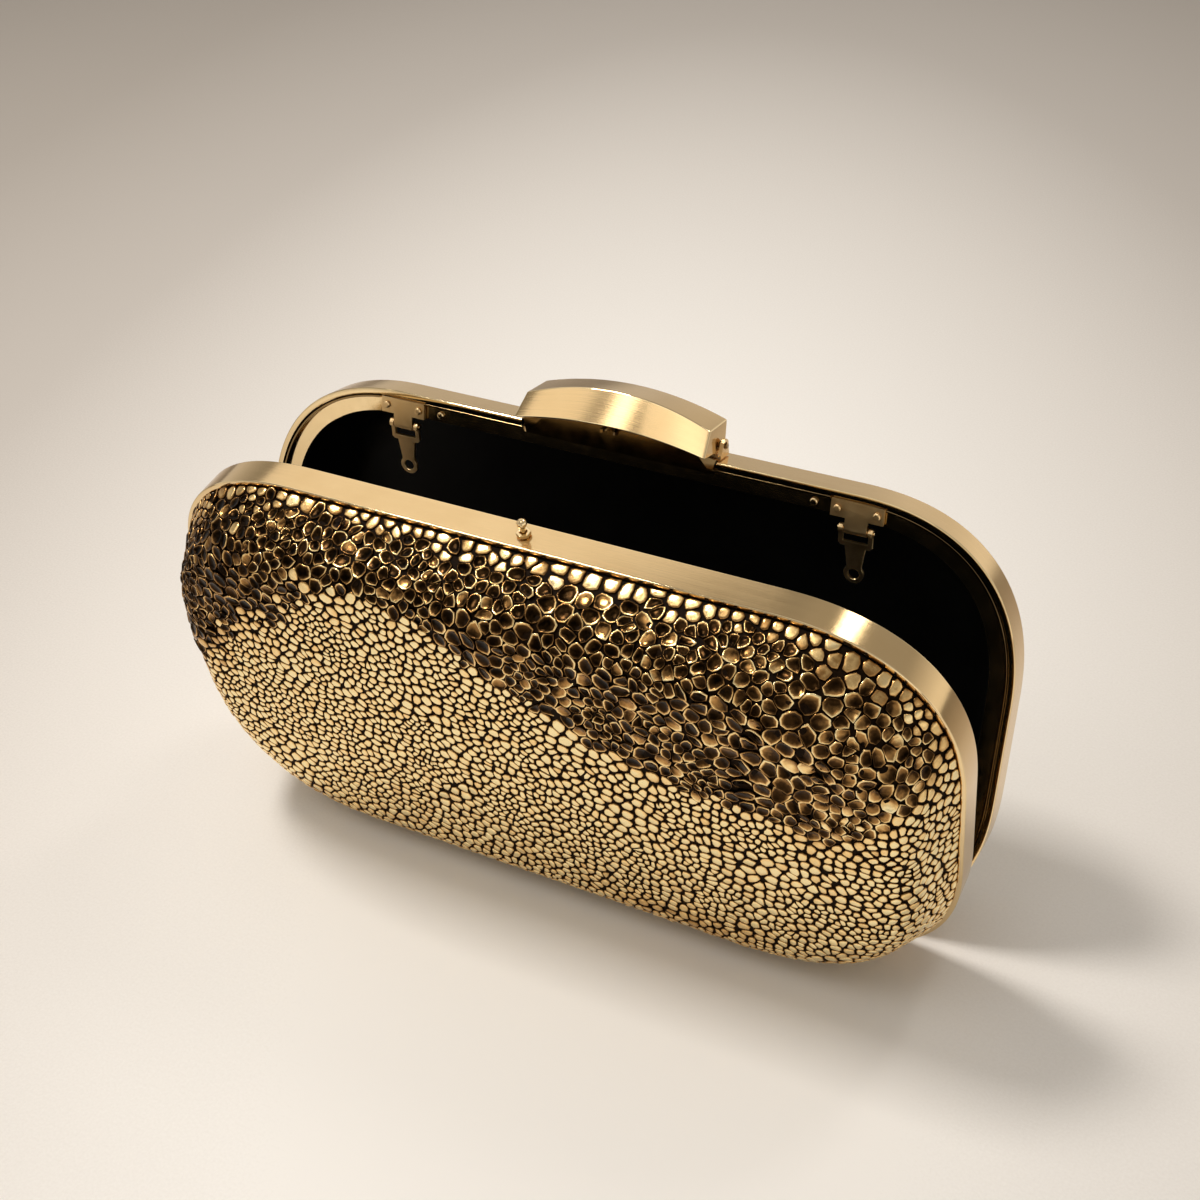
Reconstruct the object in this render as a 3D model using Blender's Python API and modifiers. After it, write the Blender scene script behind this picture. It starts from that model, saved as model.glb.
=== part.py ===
"""Evening clutch: two covered half shells in a hinged metal frame with a lift bar clasp.

Each half is laid out closed and upright: X runs along the case, depth is measured away from
the mating plane and height from the hinge axis. A half's empty then tilts it to the part open
pose in which the bag stands. The front half leans to -Y, the back half to +Y.
"""

import math

import bmesh
import bpy
from mathutils import Matrix, Vector

MM = 0.001

# Case outline, seen from the front
case_width = 200.0 * MM
case_height = 107.5 * MM
corner_radius = 42.6 * MM
corner_power = 2.4
corner_steps = 8

# Case depth of one half, from the mating plane
half_depth = 24.9 * MM
wall_draft = math.radians(21)
shoulder_radius = 10.0 * MM
face_crown = 1.0 * MM
shoulder_swell_share = 0.1
cover_setback = 1.0 * MM

# Pose in which the bag stands part open
opening_angle = math.radians(21.2)

# Clearances
fit_gap = 0.3 * MM
mating_gap = 0.3 * MM
cut_over = 1.0 * MM

# Outer band of the frame
band_depth = 7.9 * MM
band_wall = 1.6 * MM
band_edge = 0.35 * MM

# Inner flange ring with its standing tongue
flange_recess = 1.6 * MM
flange_plate = 0.8 * MM
flange_reach = 6.2 * MM
tongue_wall = 0.5 * MM
tongue_recess = 0.3 * MM

# Moulded shell, its leather cover and its lining
cover_thickness = 1.0 * MM
shell_wall = 1.2 * MM
shell_lip_reach = 3.1 * MM
shell_lip_depth = 1.5 * MM
lining_thickness = 0.8 * MM

# Rivets that hold the flange to the shell's lip
rivet_radius = 0.45 * MM
rivet_head_radius = 0.9 * MM
rivet_head_height = 0.3 * MM
rivet_inset = 4.4 * MM
rivet_bracket_clearance = 4.3 * MM
rivet_tip_clearance = 0.2 * MM
fastener_sides = 10

# Knuckle hinges at the bottom of the frame
hinge_side_inset = 56.0 * MM
hinge_length = 26.0 * MM
knuckle_count = 5
knuckle_radius = 1.2 * MM
hinge_pin_radius = 0.5 * MM
leaf_thickness = 0.7 * MM
leaf_depth = 6.4 * MM
round_sides = 14

# Lift bar of the clasp: edges of its section, forward and up from the back band's top edge
bar_length = 49.3 * MM
bar_end_slant = 0.9 * MM
bar_wall = 1.1 * MM
bar_bevel = 0.25 * MM
bar_steps = 10
bar_foot_reach = 5.2 * MM
bar_foot_lift = 2.2 * MM
bar_foot_arch = 2.6 * MM
bar_ridge_reach = 0.7 * MM
bar_ridge_height = 7.3 * MM
bar_ridge_arch = 4.7 * MM
bar_crest_depth = 8.6 * MM
bar_crest_height = 7.6 * MM
bar_crest_arch = 3.7 * MM
bar_heel_depth = 6.6 * MM
bar_heel_lift = 1.2 * MM

# Clasp base, its ears and the pin that the bar turns on
clasp_pin_radius = 0.6 * MM
clasp_pin_depth = 3.9 * MM
clasp_pin_height = 3.0 * MM
clasp_pin_overhang = 0.5 * MM
base_thickness = 0.8 * MM
base_back = 4.1 * MM
ear_thickness = 0.9 * MM
ear_foot = 2.4 * MM
ear_top_radius = 1.6 * MM

# Face plate that closes the frame's lip below the bar
face_plate_length = 50.4 * MM
face_plate_thickness = 0.7 * MM
face_plate_drop = 3.15 * MM
face_plate_end_rise = 0.4 * MM
face_plate_arch = 2.4 * MM
face_plate_corner = 1.0 * MM
face_plate_steps = 10

# Screws of the clasp base
clasp_screw_spacing = 37.0 * MM
clasp_screw_radius = 0.5 * MM
clasp_screw_head_radius = 1.1 * MM
clasp_screw_head_height = 0.5 * MM
clasp_screw_depth = 2.6 * MM

# Ball stud on the front band
ball_radius = 1.15 * MM
ball_height = 3.4 * MM
ball_depth = 4.0 * MM
ball_steps = 8
stud_neck_radius = 0.6 * MM
collar_radius = 1.7 * MM
collar_height = 0.8 * MM
collar_sides = 6

# Spring catch under the bar
jaw_wall = 0.75 * MM
jaw_height = 0.9 * MM
jaw_mouth_angle = math.radians(62)
jaw_steps = 10
catch_stem_width = 3.2 * MM
catch_tail_length = 1.9 * MM
catch_post_thickness = 0.8 * MM

# Torsion spring that holds the bar down
spring_wire_radius = 0.25 * MM
spring_coil_radius = 1.4 * MM
spring_pitch = 0.95 * MM
spring_turns = 4
spring_points_per_turn = 9
spring_hook_depth = 2.4 * MM

# Chain tabs with their brackets
tab_side_inset = 40.5 * MM
tab_pin_drop = 2.7 * MM
tab_pin_radius = 0.5 * MM
bracket_width = 12.4 * MM
bracket_thickness = 0.8 * MM
bracket_recess = 0.5 * MM
bracket_height = 4.0 * MM
bracket_rivet_spacing = 9.2 * MM
barrel_radius = 1.15 * MM
barrel_width = 5.3 * MM
tab_eye_radius = 1.1 * MM
tab_arm_width = 1.1 * MM
tab_thickness = 0.8 * MM
tab_yoke_drop = 3.1 * MM
tab_yoke_height = 1.3 * MM
tab_strap_width = 4.9 * MM
tab_neck_width = 3.6 * MM
tab_eyelet_drop = 11.5 * MM
tab_eyelet_radius = 2.4 * MM
tab_eyelet_hole = 1.4 * MM
tab_round_steps = 14

# Profile angles of the shoulder, and places on the face as shares of the way to its middle line
cover_shoulder_shares = (0.0, 0.22, 0.44, 0.66, 0.84, 1.0)
core_shoulder_shares = (0.0, 0.4, 0.72, 1.0)
cover_face_shares = (0.3, 0.7)
core_face_shares = (0.5,)

FRONT = -1
BACK = 1

# Places that follow from the sizes above
band_lip = mating_gap / 2
flange_outer = band_wall + fit_gap
shell_offset = cover_thickness + fit_gap
lining_offset = shell_offset + shell_wall + fit_gap
shell_rim = flange_recess + flange_plate + fit_gap
lining_rim = shell_rim + shell_lip_depth + fit_gap
cover_rim = band_depth + fit_gap
tilt = opening_angle / 2
hinge_x = case_width / 2 - hinge_side_inset
tab_x = case_width / 2 - tab_side_inset
rivet_x = tab_x - bracket_width / 2 - rivet_bracket_clearance
barrel_depth = bracket_recess + barrel_radius


def clear_scene():
    for item in list(bpy.data.objects):
        bpy.data.objects.remove(item, do_unlink=True)


def make_collection(name):
    collection = bpy.data.collections.new(name)
    bpy.context.scene.collection.children.link(collection)
    return collection


def make_material(name, color, roughness, metallic):
    material = bpy.data.materials.new(name)
    material.use_nodes = True
    shader = material.node_tree.nodes["Principled BSDF"]
    shader.inputs["Base Color"].default_value = (*color, 1.0)
    shader.inputs["Roughness"].default_value = roughness
    shader.inputs["Metallic"].default_value = metallic
    return material


clear_scene()
parts = make_collection("evening_clutch")
cutters = make_collection("evening_clutch_cutters")

satin_gold = make_material("satin_gold", (0.72, 0.53, 0.27), 0.34, 1.0)
bright_gold = make_material("bright_gold", (0.80, 0.58, 0.28), 0.15, 1.0)
dark_gold = make_material("dark_gold", (0.30, 0.20, 0.08), 0.18, 1.0)
spring_steel = make_material("spring_steel", (0.55, 0.54, 0.52), 0.30, 1.0)
foil_leather = make_material("foil_leather", (0.66, 0.49, 0.25), 0.38, 0.6)
shell_board = make_material("shell_board", (0.05, 0.04, 0.035), 0.60, 0.0)
black_satin = make_material("black_satin", (0.012, 0.012, 0.014), 0.45, 0.0)


def corner_point(radius, step):
    """Point of a rounded corner on a superellipse, from its X side to its top side."""
    angle = math.pi / 2 * step / corner_steps
    power = 2 / corner_power
    return radius * math.cos(angle) ** power, radius * math.sin(angle) ** power


def outline(inset, radius):
    """Ring of (x, height) points, inset from the band's outside, with its own corner radius."""
    half_width = case_width / 2 - inset
    half_height = case_height / 2 - inset
    radius = min(radius, half_height)
    ring = []
    for quarter in range(4):
        sign_x = 1 if quarter in (0, 3) else -1
        sign_z = 1 if quarter in (0, 1) else -1
        steps = range(corner_steps + 1)
        for step in steps if quarter in (0, 2) else reversed(steps):
            across, up = corner_point(radius, step)
            x = sign_x * (half_width - radius + across)
            ring.append((x, case_height / 2 + sign_z * (half_height - radius + up)))
    return ring


def outline_top(x, inset):
    """Height of the inset outline's upper side at x."""
    radius = corner_radius - inset
    past = max(abs(x) - (case_width / 2 - inset - radius), 0)
    share = (1 - (past / radius) ** corner_power) ** (1 / corner_power)
    return case_height - inset - radius + radius * share


def at_wall(inset, depth):
    """Profile point on a surface parallel to the band's outside."""
    return inset, corner_radius - inset, depth


def at_slope(offset, inset, depth):
    """Profile point past the wall's knee, where the corners swell a little."""
    wall_inset = cover_setback + offset
    swell = shoulder_swell_share * (inset - wall_inset)
    return inset, corner_radius - wall_inset + swell, depth


def at_draft(offset, depth):
    """Profile point on the drafted wall, offset under the cover's outside."""
    along = (depth - cover_rim + offset * math.sin(wall_draft)) / math.cos(wall_draft)
    inset = cover_setback + offset * math.cos(wall_draft) + along * math.sin(wall_draft)
    return at_slope(offset, inset, depth)


def at_shoulder(offset, share):
    """Profile point on the rounded shoulder between the drafted wall and the face."""
    middle_depth = half_depth - shoulder_radius
    foot_depth = middle_depth + shoulder_radius * math.sin(wall_draft)
    middle_inset = at_draft(0, foot_depth)[0] + shoulder_radius * math.cos(wall_draft)
    angle = wall_draft + share * (math.pi / 2 - wall_draft)
    radius = shoulder_radius - offset
    return at_slope(offset, middle_inset - radius * math.cos(angle),
                    middle_depth + radius * math.sin(angle))


def at_face(offset, share):
    """Profile point on the crowned face, a share of the way from the shoulder to its middle."""
    inset, radius, depth = at_shoulder(offset, 1)
    inset += share * (case_height / 2 - inset)
    return inset, radius, depth + face_crown * (1 - (1 - share) ** 2)


def bracket_top():
    """Height of a bracket's top edge, under the band's inside at the bracket's outer end."""
    return outline_top(tab_x + bracket_width / 2, band_wall) - fit_gap


def tab_pin_height():
    return bracket_top() - bracket_height - tab_pin_drop


def pan_surface(offset, rim_depth, shoulder_shares, face_shares):
    """Profile of one surface of a pan, from its rim to the middle of its face."""
    knee_depth = cover_rim - offset * math.tan(wall_draft / 2)
    if rim_depth < knee_depth:
        wall_inset = cover_setback + offset
        profile = [at_wall(wall_inset, rim_depth), at_wall(wall_inset, knee_depth)]
    else:
        profile = [at_draft(offset, rim_depth)]
    profile += [at_shoulder(offset, share) for share in shoulder_shares]
    profile += [at_face(offset, share) for share in face_shares]
    return profile


def add_object(name, mesh, material, holder, collection=parts):
    item = bpy.data.objects.new(name, mesh)
    collection.objects.link(item)
    item.parent = holder
    if material:
        mesh.materials.append(material)
    if collection == cutters:
        item.hide_render = True
        item.display_type = "WIRE"
    return item


def finish_mesh(name, work):
    """Mesh from a bmesh, with its faces pointing out and its round sides smooth."""
    bmesh.ops.recalc_face_normals(work, faces=work.faces)
    mesh = bpy.data.meshes.new(name)
    work.to_mesh(mesh)
    work.free()
    mesh.shade_smooth()
    mesh.set_sharp_from_angle(angle=math.radians(32))
    return mesh


def loft(name, rings, closed, material, holder, collection=parts):
    """Solid through rings of equal count, capped at its ends or closed into a loop."""
    work = bmesh.new()
    rows = [[work.verts.new(point) for point in ring] for ring in rings]
    pairs = list(zip(rows, rows[1:]))
    if closed:
        pairs.append((rows[-1], rows[0]))
    for lower, upper in pairs:
        for index, vert in enumerate(lower):
            following = (index + 1) % len(lower)
            work.faces.new((vert, lower[following], upper[following], upper[index]))
    if not closed:
        work.faces.new(rows[0])
        work.faces.new(rows[-1])
    return add_object(name, finish_mesh(name, work), material, holder, collection)


def wrap_profile(name, side, profile, closed, material, holder):
    """Profile points (inset, corner radius, depth) carried round the case outline."""
    rings = [[(x, side * depth, height) for x, height in outline(inset, radius)]
             for inset, radius, depth in profile]
    return loft(name, rings, closed, material, holder)


def block(name, low, high, material, holder, collection=parts):
    work = bmesh.new()
    bmesh.ops.create_cube(work, size=1)
    size = Vector(high) - Vector(low)
    middle = (Vector(high) + Vector(low)) / 2
    size = Vector([abs(length) for length in size])
    bmesh.ops.scale(work, vec=size, verts=work.verts)
    bmesh.ops.translate(work, vec=middle, verts=work.verts)
    return add_object(name, finish_mesh(name, work), material, holder, collection)


def cylinder(name, axis, centre, length, radius, material, holder, collection=parts,
             sides=round_sides):
    """Closed cylinder about a centre, along local X, Y or Z."""
    work = bmesh.new()
    bmesh.ops.create_cone(work, cap_ends=True, segments=sides, radius1=radius, radius2=radius,
                          depth=length)
    turn = {"X": Matrix.Rotation(math.pi / 2, 3, "Y"),
            "Y": Matrix.Rotation(math.pi / 2, 3, "X"),
            "Z": Matrix.Identity(3)}[axis]
    bmesh.ops.rotate(work, matrix=turn, verts=work.verts)
    bmesh.ops.translate(work, vec=Vector(centre), verts=work.verts)
    return add_object(name, finish_mesh(name, work), material, holder, collection)


def extrude_x(name, points, x_from, x_to, material, holder, collection=parts):
    """Prism of (y, z) points between two places along X."""
    rings = [[(x, y, z) for y, z in points] for x in (x_from, x_to)]
    return loft(name, rings, False, material, holder, collection)


def boolean(item, tool, operation):
    modifier = item.modifiers.new(tool.name, "BOOLEAN")
    modifier.operation = operation
    modifier.object = tool
    modifier.solver = "EXACT"


def cut(item, *tools):
    for tool in tools:
        boolean(item, tool, "DIFFERENCE")


def join(item, *tools):
    for tool in tools:
        boolean(item, tool, "UNION")


def turned_mesh(name, profile, sides):
    """Closed turned body from (radius, height) points that run from its top to its bottom."""
    outline_mesh = bpy.data.meshes.new(name + "_profile")
    edges = [(index, index + 1) for index in range(len(profile) - 1)]
    outline_mesh.from_pydata([(radius, 0, height) for radius, height in profile], edges, [])
    guide = bpy.data.objects.new(name + "_profile", outline_mesh)
    bpy.context.scene.collection.objects.link(guide)
    screw = guide.modifiers.new("turn", "SCREW")
    screw.steps = sides
    screw.render_steps = sides
    screw.use_merge_vertices = True
    screw.merge_threshold = 0.1 * fit_gap
    graph = bpy.context.evaluated_depsgraph_get()
    graph.update()
    mesh = bpy.data.meshes.new_from_object(guide.evaluated_get(graph))
    bpy.data.objects.remove(guide, do_unlink=True)
    bpy.data.meshes.remove(outline_mesh)
    return mesh


def turned_body(name, profile, sides, place, turn, material, holder):
    """Turned body set at a place, with its axis turned from local Z."""
    mesh = turned_mesh(name, profile, sides)
    mesh.transform(Matrix.Translation(place) @ turn)
    work = bmesh.new()
    work.from_mesh(mesh)
    bpy.data.meshes.remove(mesh)
    return add_object(name, finish_mesh(name, work), material, holder)


def headed_profile(head_radius, head_height, shank_radius, shank_length):
    """Flat headed fastener: its head starts at height 0 and its shank runs down."""
    return [(0, head_height), (head_radius * 0.7, head_height), (head_radius, head_height * 0.4),
            (head_radius, 0), (shank_radius, 0), (shank_radius, -shank_length),
            (0, -shank_length)]


def lowest_below_axis():
    """How far the tilted half reaches below the hinge axis: its band's edge or its cover."""
    edge = band_depth * math.sin(tilt) - band_edge * math.sin(tilt)
    lows = [edge, (band_depth * math.sin(tilt) - band_edge * math.cos(tilt))]
    for share in cover_shoulder_shares:
        inset, _, depth = at_shoulder(0, share)
        lows.append(depth * math.sin(tilt) - inset * math.cos(tilt))
    return max(lows)


def make_half_empty(name, side, height):
    empty = bpy.data.objects.new(name, None)
    parts.objects.link(empty)
    empty.location = (0, 0, height)
    empty.rotation_euler = (-side * tilt, 0, 0)
    return empty


hinge_height = lowest_below_axis()
holders = {FRONT: make_half_empty("front_half_axis", FRONT, hinge_height),
           BACK: make_half_empty("back_half_axis", BACK, hinge_height)}
side_words = {FRONT: "front", BACK: "back"}


def make_band(side):
    """Outer ring of the frame, with recesses for the hinge leaves."""
    word = side_words[side]
    outer, inner = 0, band_wall
    profile = [at_wall(outer + band_edge, band_lip), at_wall(outer, band_lip + band_edge),
               at_wall(outer, band_depth - band_edge), at_wall(outer + band_edge, band_depth),
               at_wall(inner - band_edge, band_depth), at_wall(inner, band_depth - band_edge),
               at_wall(inner, band_lip + band_edge), at_wall(inner - band_edge, band_lip)]
    band = wrap_profile(word + "_band", side, profile, True, satin_gold, holders[side])
    for hand, x in (("left", -hinge_x), ("right", hinge_x)):
        reach = hinge_length / 2 + fit_gap
        seat = block(f"{hand}_{word}_leaf_seat", (x - reach, -side * cut_over, -cut_over),
                     (x + reach, side * (leaf_depth + fit_gap), leaf_thickness + fit_gap),
                     None, holders[side], cutters)
        groove = cylinder(f"{hand}_{word}_knuckle_groove", "X", (x, 0, 0), 2 * reach,
                          knuckle_radius + fit_gap, None, holders[side], cutters)
        cut(band, seat, groove)
    return band


def make_flange(side):
    """Ring inside the band: a plate that faces the mouth, with a thin tongue along the lip."""
    word = side_words[side]
    tongue_inner = flange_outer + tongue_wall
    back = flange_recess + flange_plate
    profile = [at_wall(flange_outer, tongue_recess), at_wall(flange_outer, back),
               at_wall(flange_reach, back), at_wall(flange_reach, flange_recess),
               at_wall(tongue_inner, flange_recess), at_wall(tongue_inner, tongue_recess)]
    return wrap_profile(word + "_flange", side, profile, True, bright_gold, holders[side])


def make_shell(side):
    """Moulded pan with an inward lip that the flange covers."""
    word = side_words[side]
    lip_end = cover_setback + shell_offset + shell_lip_reach
    outer = pan_surface(shell_offset, shell_rim, core_shoulder_shares, core_face_shares)
    inner = pan_surface(shell_offset + shell_wall, shell_rim + shell_lip_depth,
                        core_shoulder_shares, core_face_shares)
    lip = [at_wall(lip_end, shell_rim + shell_lip_depth), at_wall(lip_end, shell_rim)]
    profile = outer[::-1] + lip[::-1] + inner
    return wrap_profile(word + "_shell", side, profile, False, shell_board, holders[side])


def make_pan(name, side, offset, thickness, rim_depth, shares, material):
    """Thin open pan between two parallel surfaces."""
    outer = pan_surface(offset, rim_depth, *shares)
    inner = pan_surface(offset + thickness, rim_depth, core_shoulder_shares, core_face_shares)
    return wrap_profile(name, side, outer[::-1] + inner, False, material, holders[side])


def rivet(name, side, place, reach, plies):
    """Rivet with its head towards the half's mouth, and its hole through each ply."""
    profile = headed_profile(rivet_head_radius, rivet_head_height, rivet_radius, reach)
    facing = Matrix.Rotation(side * math.pi / 2, 4, "X")
    turned_body(name, profile, fastener_sides, place, facing, bright_gold, holders[side])
    hole = cylinder(name + "_hole", "Y", place, 2 * (reach + fit_gap), rivet_radius + fit_gap,
                    None, holders[side], cutters, fastener_sides)
    for ply in plies:
        cut(ply, hole)


def fasten_flange(side, flange, shell):
    """Rivets through the flange into the shell's lip, two above and two below."""
    head_seat = flange_recess - fit_gap
    reach = shell_rim + shell_lip_depth - head_seat - rivet_tip_clearance
    top = outline_top(rivet_x, 0)
    for hand, x in (("left", -rivet_x), ("right", rivet_x)):
        for level, height in (("lower", case_height - top + rivet_inset),
                              ("upper", top - rivet_inset)):
            rivet(f"{side_words[side]}_{level}_{hand}_rivet", side,
                  Vector((x, side * head_seat, height)), reach, (flange, shell))


def leaf_knuckle_outline(side):
    """Knuckle circle that runs into the leaf's flat, as (y, z) points."""
    start = math.asin(leaf_thickness / knuckle_radius)
    steps = round_sides
    points = []
    for step in range(steps + 1):
        angle = start + (2 * math.pi - start) * step / steps
        points.append((side * knuckle_radius * math.cos(angle),
                       knuckle_radius * math.sin(angle)))
    root = knuckle_radius + 2 * fit_gap + leaf_thickness
    points += [(side * root, 0), (side * root, leaf_thickness)]
    return points


def make_leaf(side, hand, x):
    """Hinge leaf in its seat, with every other knuckle of the hinge."""
    word = side_words[side]
    holder = holders[side]
    name = f"{hand}_hinge_{word}_leaf"
    pitch = (hinge_length + fit_gap) / knuckle_count
    leaf = block(name, (x - hinge_length / 2, side * (knuckle_radius + fit_gap), 0),
                 (x + hinge_length / 2, side * leaf_depth, leaf_thickness), satin_gold, holder)
    first = 0 if side == FRONT else 1
    for number in range(first, knuckle_count, 2):
        start = x - hinge_length / 2 + number * pitch
        knuckle = extrude_x(f"{name}_knuckle_{number}", leaf_knuckle_outline(side), start,
                            start + pitch - fit_gap, None, holder, cutters)
        join(leaf, knuckle)
    bore = cylinder(f"{name}_bore", "X", (x, 0, 0), hinge_length + 2 * cut_over,
                    hinge_pin_radius + fit_gap, None, holder, cutters)
    cut(leaf, bore)


def make_hinges():
    for hand, x in (("left", -hinge_x), ("right", hinge_x)):
        for side in (FRONT, BACK):
            make_leaf(side, hand, x)
        cylinder(f"{hand}_hinge_pin", "X", (x, 0, 0), hinge_length, hinge_pin_radius,
                 bright_gold, holders[BACK])


def bar_section(share):
    """Foot, ridge, crest and heel of the bar's section, a share of the way from its middle."""
    arch = 1 - share ** 2
    return [(-bar_foot_reach, case_height + bar_foot_lift + bar_foot_arch * arch),
            (-bar_ridge_reach, case_height + bar_ridge_height + bar_ridge_arch * arch),
            (bar_crest_depth, case_height + bar_crest_height + bar_crest_arch * arch),
            (bar_heel_depth, case_height + bar_heel_lift)]


def moved_line(start, end, distance):
    """Line through two points, moved to its right by a distance."""
    along = (Vector(end) - Vector(start)).normalized()
    shift = Vector((along.y, -along.x)) * distance
    return Vector(start) + shift, along


def crossing(first, second):
    """Point where two lines (point, direction) cross."""
    (start, along), (other, across) = first, second
    spread = along.x * across.y - along.y * across.x
    gap = other - start
    return start + along * ((gap.x * across.y - gap.y * across.x) / spread)


def bar_hollow_section(share):
    """Inside of the bar's section, open below."""
    foot, ridge, crest, heel = bar_section(share)
    front = moved_line(foot, ridge, bar_wall)
    roof = moved_line(ridge, crest, bar_wall)
    back = moved_line(crest, heel, bar_wall)
    floor_height = case_height + bar_heel_lift - cut_over
    floor = (Vector((0, floor_height)), Vector((1, 0)))
    return [crossing(front, floor), crossing(front, roof), crossing(roof, back),
            crossing(back, floor)]


def bar_rings(section, half_length, slant):
    rings = []
    for step in range(bar_steps + 1):
        share = 2 * step / bar_steps - 1
        foot, ridge, crest, heel = section(share)
        low_x, high_x = share * half_length, share * (half_length - slant)
        rings.append([(low_x, *foot), (high_x, *ridge), (high_x, *crest), (low_x, *heel)])
    return rings


def make_clasp_empty():
    """Empty on the bar's pin axis."""
    empty = bpy.data.objects.new("clasp_bar_axis", None)
    parts.objects.link(empty)
    empty.parent = holders[BACK]
    empty.location = (0, clasp_pin_depth, case_height + clasp_pin_height)
    return empty


def make_clasp_bar(holder):
    """Arched, hollow lift bar with a bore in each end wall."""
    back = Matrix.Translation(-holder.location)
    bar = loft("clasp_bar", bar_rings(bar_section, bar_length / 2, bar_end_slant), False,
               satin_gold, holder)
    hollow = loft("clasp_bar_hollow",
                  bar_rings(bar_hollow_section, bar_length / 2 - bar_wall, bar_end_slant), False,
                  None, holder, cutters)
    bore = cylinder("clasp_bar_bore", "X", holder.location, bar_length + 2 * cut_over,
                    clasp_pin_radius + fit_gap, None, holder, cutters)
    for item in (bar, hollow, bore):
        item.data.transform(back)
    bevel = bar.modifiers.new("edges", "BEVEL")
    bevel.width = bar_bevel
    bevel.segments = 1
    bevel.limit_method = "ANGLE"
    bevel.angle_limit = math.radians(40)
    cut(bar, hollow, bore)
    return bar


def catch_outline():
    """Spring jaws round the ball with a stem behind them, as (x, y) points."""
    inner = ball_radius + fit_gap
    outer = inner + jaw_wall
    start, stop = jaw_mouth_angle, 2 * math.pi - jaw_mouth_angle
    stem = catch_stem_width / 2
    stem_angle = math.asin(stem / outer)
    inner_arc = [start + (stop - start) * step / jaw_steps for step in range(jaw_steps + 1)]
    half = jaw_steps // 2
    span = math.pi - stem_angle - start
    near_arc = [start + span * step / half for step in range(half + 1)]
    far_arc = [2 * math.pi - angle for angle in reversed(near_arc)]

    def on_circle(radius, angle):
        return radius * math.sin(angle), -ball_depth - radius * math.cos(angle)

    tail = -ball_depth + outer + catch_tail_length
    points = [on_circle(outer, angle) for angle in near_arc]
    points += [(stem, tail), (-stem, tail)]
    points += [on_circle(outer, angle) for angle in far_arc]
    points += [on_circle(inner, angle) for angle in reversed(inner_arc)]
    return points


def make_catch(holder):
    """Catch that rides in the bar and closes round the ball."""
    low = case_height + ball_height - jaw_height / 2
    points = catch_outline()
    rings = [[(x, y, height) for x, y in points] for height in (low, low + jaw_height)]
    catch = loft("clasp_catch", rings, False, spring_steel, holder)
    tail = max(y for _, y in points)
    post_front = tail - catch_tail_length
    foot, ridge, _, _ = bar_section(0)
    wall_start, wall_along = moved_line(foot, ridge, bar_wall + fit_gap)
    rise = (post_front - wall_start.x) / wall_along.x
    post_top = wall_start.y + wall_along.y * rise
    post = block("clasp_catch_post", (-catch_stem_width / 2, post_front, low + jaw_height / 2),
                 (catch_stem_width / 2, post_front + catch_post_thickness, post_top), None,
                 holder, cutters)
    for item in (catch, post):
        item.data.transform(Matrix.Translation(-holder.location))
    join(catch, post)


def ear_outline():
    """Side of a clasp ear: a foot on the band and a round top about the pin."""
    points = [(clasp_pin_depth - ear_foot, case_height + fit_gap),
              (clasp_pin_depth + ear_foot, case_height + fit_gap)]
    for step in range(fastener_sides // 2 + 1):
        angle = math.pi * step / (fastener_sides // 2)
        points.append((clasp_pin_depth + ear_top_radius * math.cos(angle),
                       case_height + clasp_pin_height + ear_top_radius * math.sin(angle)))
    return points


def make_clasp_base():
    """Plate on the back band's top with an ear at each end, its screws and the bar's pin."""
    holder = holders[BACK]
    base_front = band_lip + face_plate_thickness + 2 * fit_gap
    ear_inner = bar_length / 2 + fit_gap
    ear_outer = ear_inner + ear_thickness
    plate_low, plate_high = case_height + fit_gap, case_height + fit_gap + base_thickness
    base = block("clasp_base", (-ear_outer, base_front, plate_low),
                 (ear_outer, base_back, plate_high), satin_gold, holder)
    for hand, sign in (("left", -1), ("right", 1)):
        ear = extrude_x(f"clasp_base_{hand}_ear", ear_outline(), sign * ear_inner,
                        sign * ear_outer, None, holder, cutters)
        join(base, ear)
    axis_height = case_height + clasp_pin_height
    bore = cylinder("clasp_base_bore", "X", (0, clasp_pin_depth, axis_height),
                    2 * (ear_outer + cut_over), clasp_pin_radius + fit_gap, None, holder, cutters)
    cut(base, bore)
    cylinder("clasp_pin", "X", (0, clasp_pin_depth, axis_height),
             2 * (ear_outer + clasp_pin_overhang), clasp_pin_radius, bright_gold, holder)
    return base


def fasten_clasp_base(base, band):
    """Two screws through the base into the band."""
    holder = holders[BACK]
    seat = case_height + base_thickness + 2 * fit_gap
    reach = base_thickness + 2 * fit_gap + band_wall - rivet_tip_clearance
    profile = headed_profile(clasp_screw_head_radius, clasp_screw_head_height,
                             clasp_screw_radius, reach)
    for hand, x in (("left", -clasp_screw_spacing / 2), ("right", clasp_screw_spacing / 2)):
        name = f"{hand}_clasp_screw"
        place = Vector((x, clasp_screw_depth, seat))
        turned_body(name, profile, fastener_sides, place, Matrix.Identity(4), bright_gold,
                    holder)
        hole = cylinder(name + "_hole", "Z", place, 2 * (reach + fit_gap),
                        clasp_screw_radius + fit_gap, None, holder, cutters, fastener_sides)
        cut(base, hole)
        cut(band, hole)


def face_plate_outline():
    """Face plate with rounded lower corners and an arched top, as (x, z) points."""
    half = face_plate_length / 2
    low = case_height - face_plate_drop
    points = []
    for sign in (1, -1):
        corner = []
        for step in range(4):
            angle = math.pi / 2 * step / 3
            corner.append((sign * (half - face_plate_corner * (1 - math.sin(angle))),
                           low + face_plate_corner * (1 - math.cos(angle))))
        points += corner if sign == 1 else corner[::-1]
    for step in range(face_plate_steps + 1):
        share = 2 * step / face_plate_steps - 1
        rise = face_plate_end_rise + face_plate_arch * (1 - share ** 2)
        points.append((share * half, case_height + rise))
    return points


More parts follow.
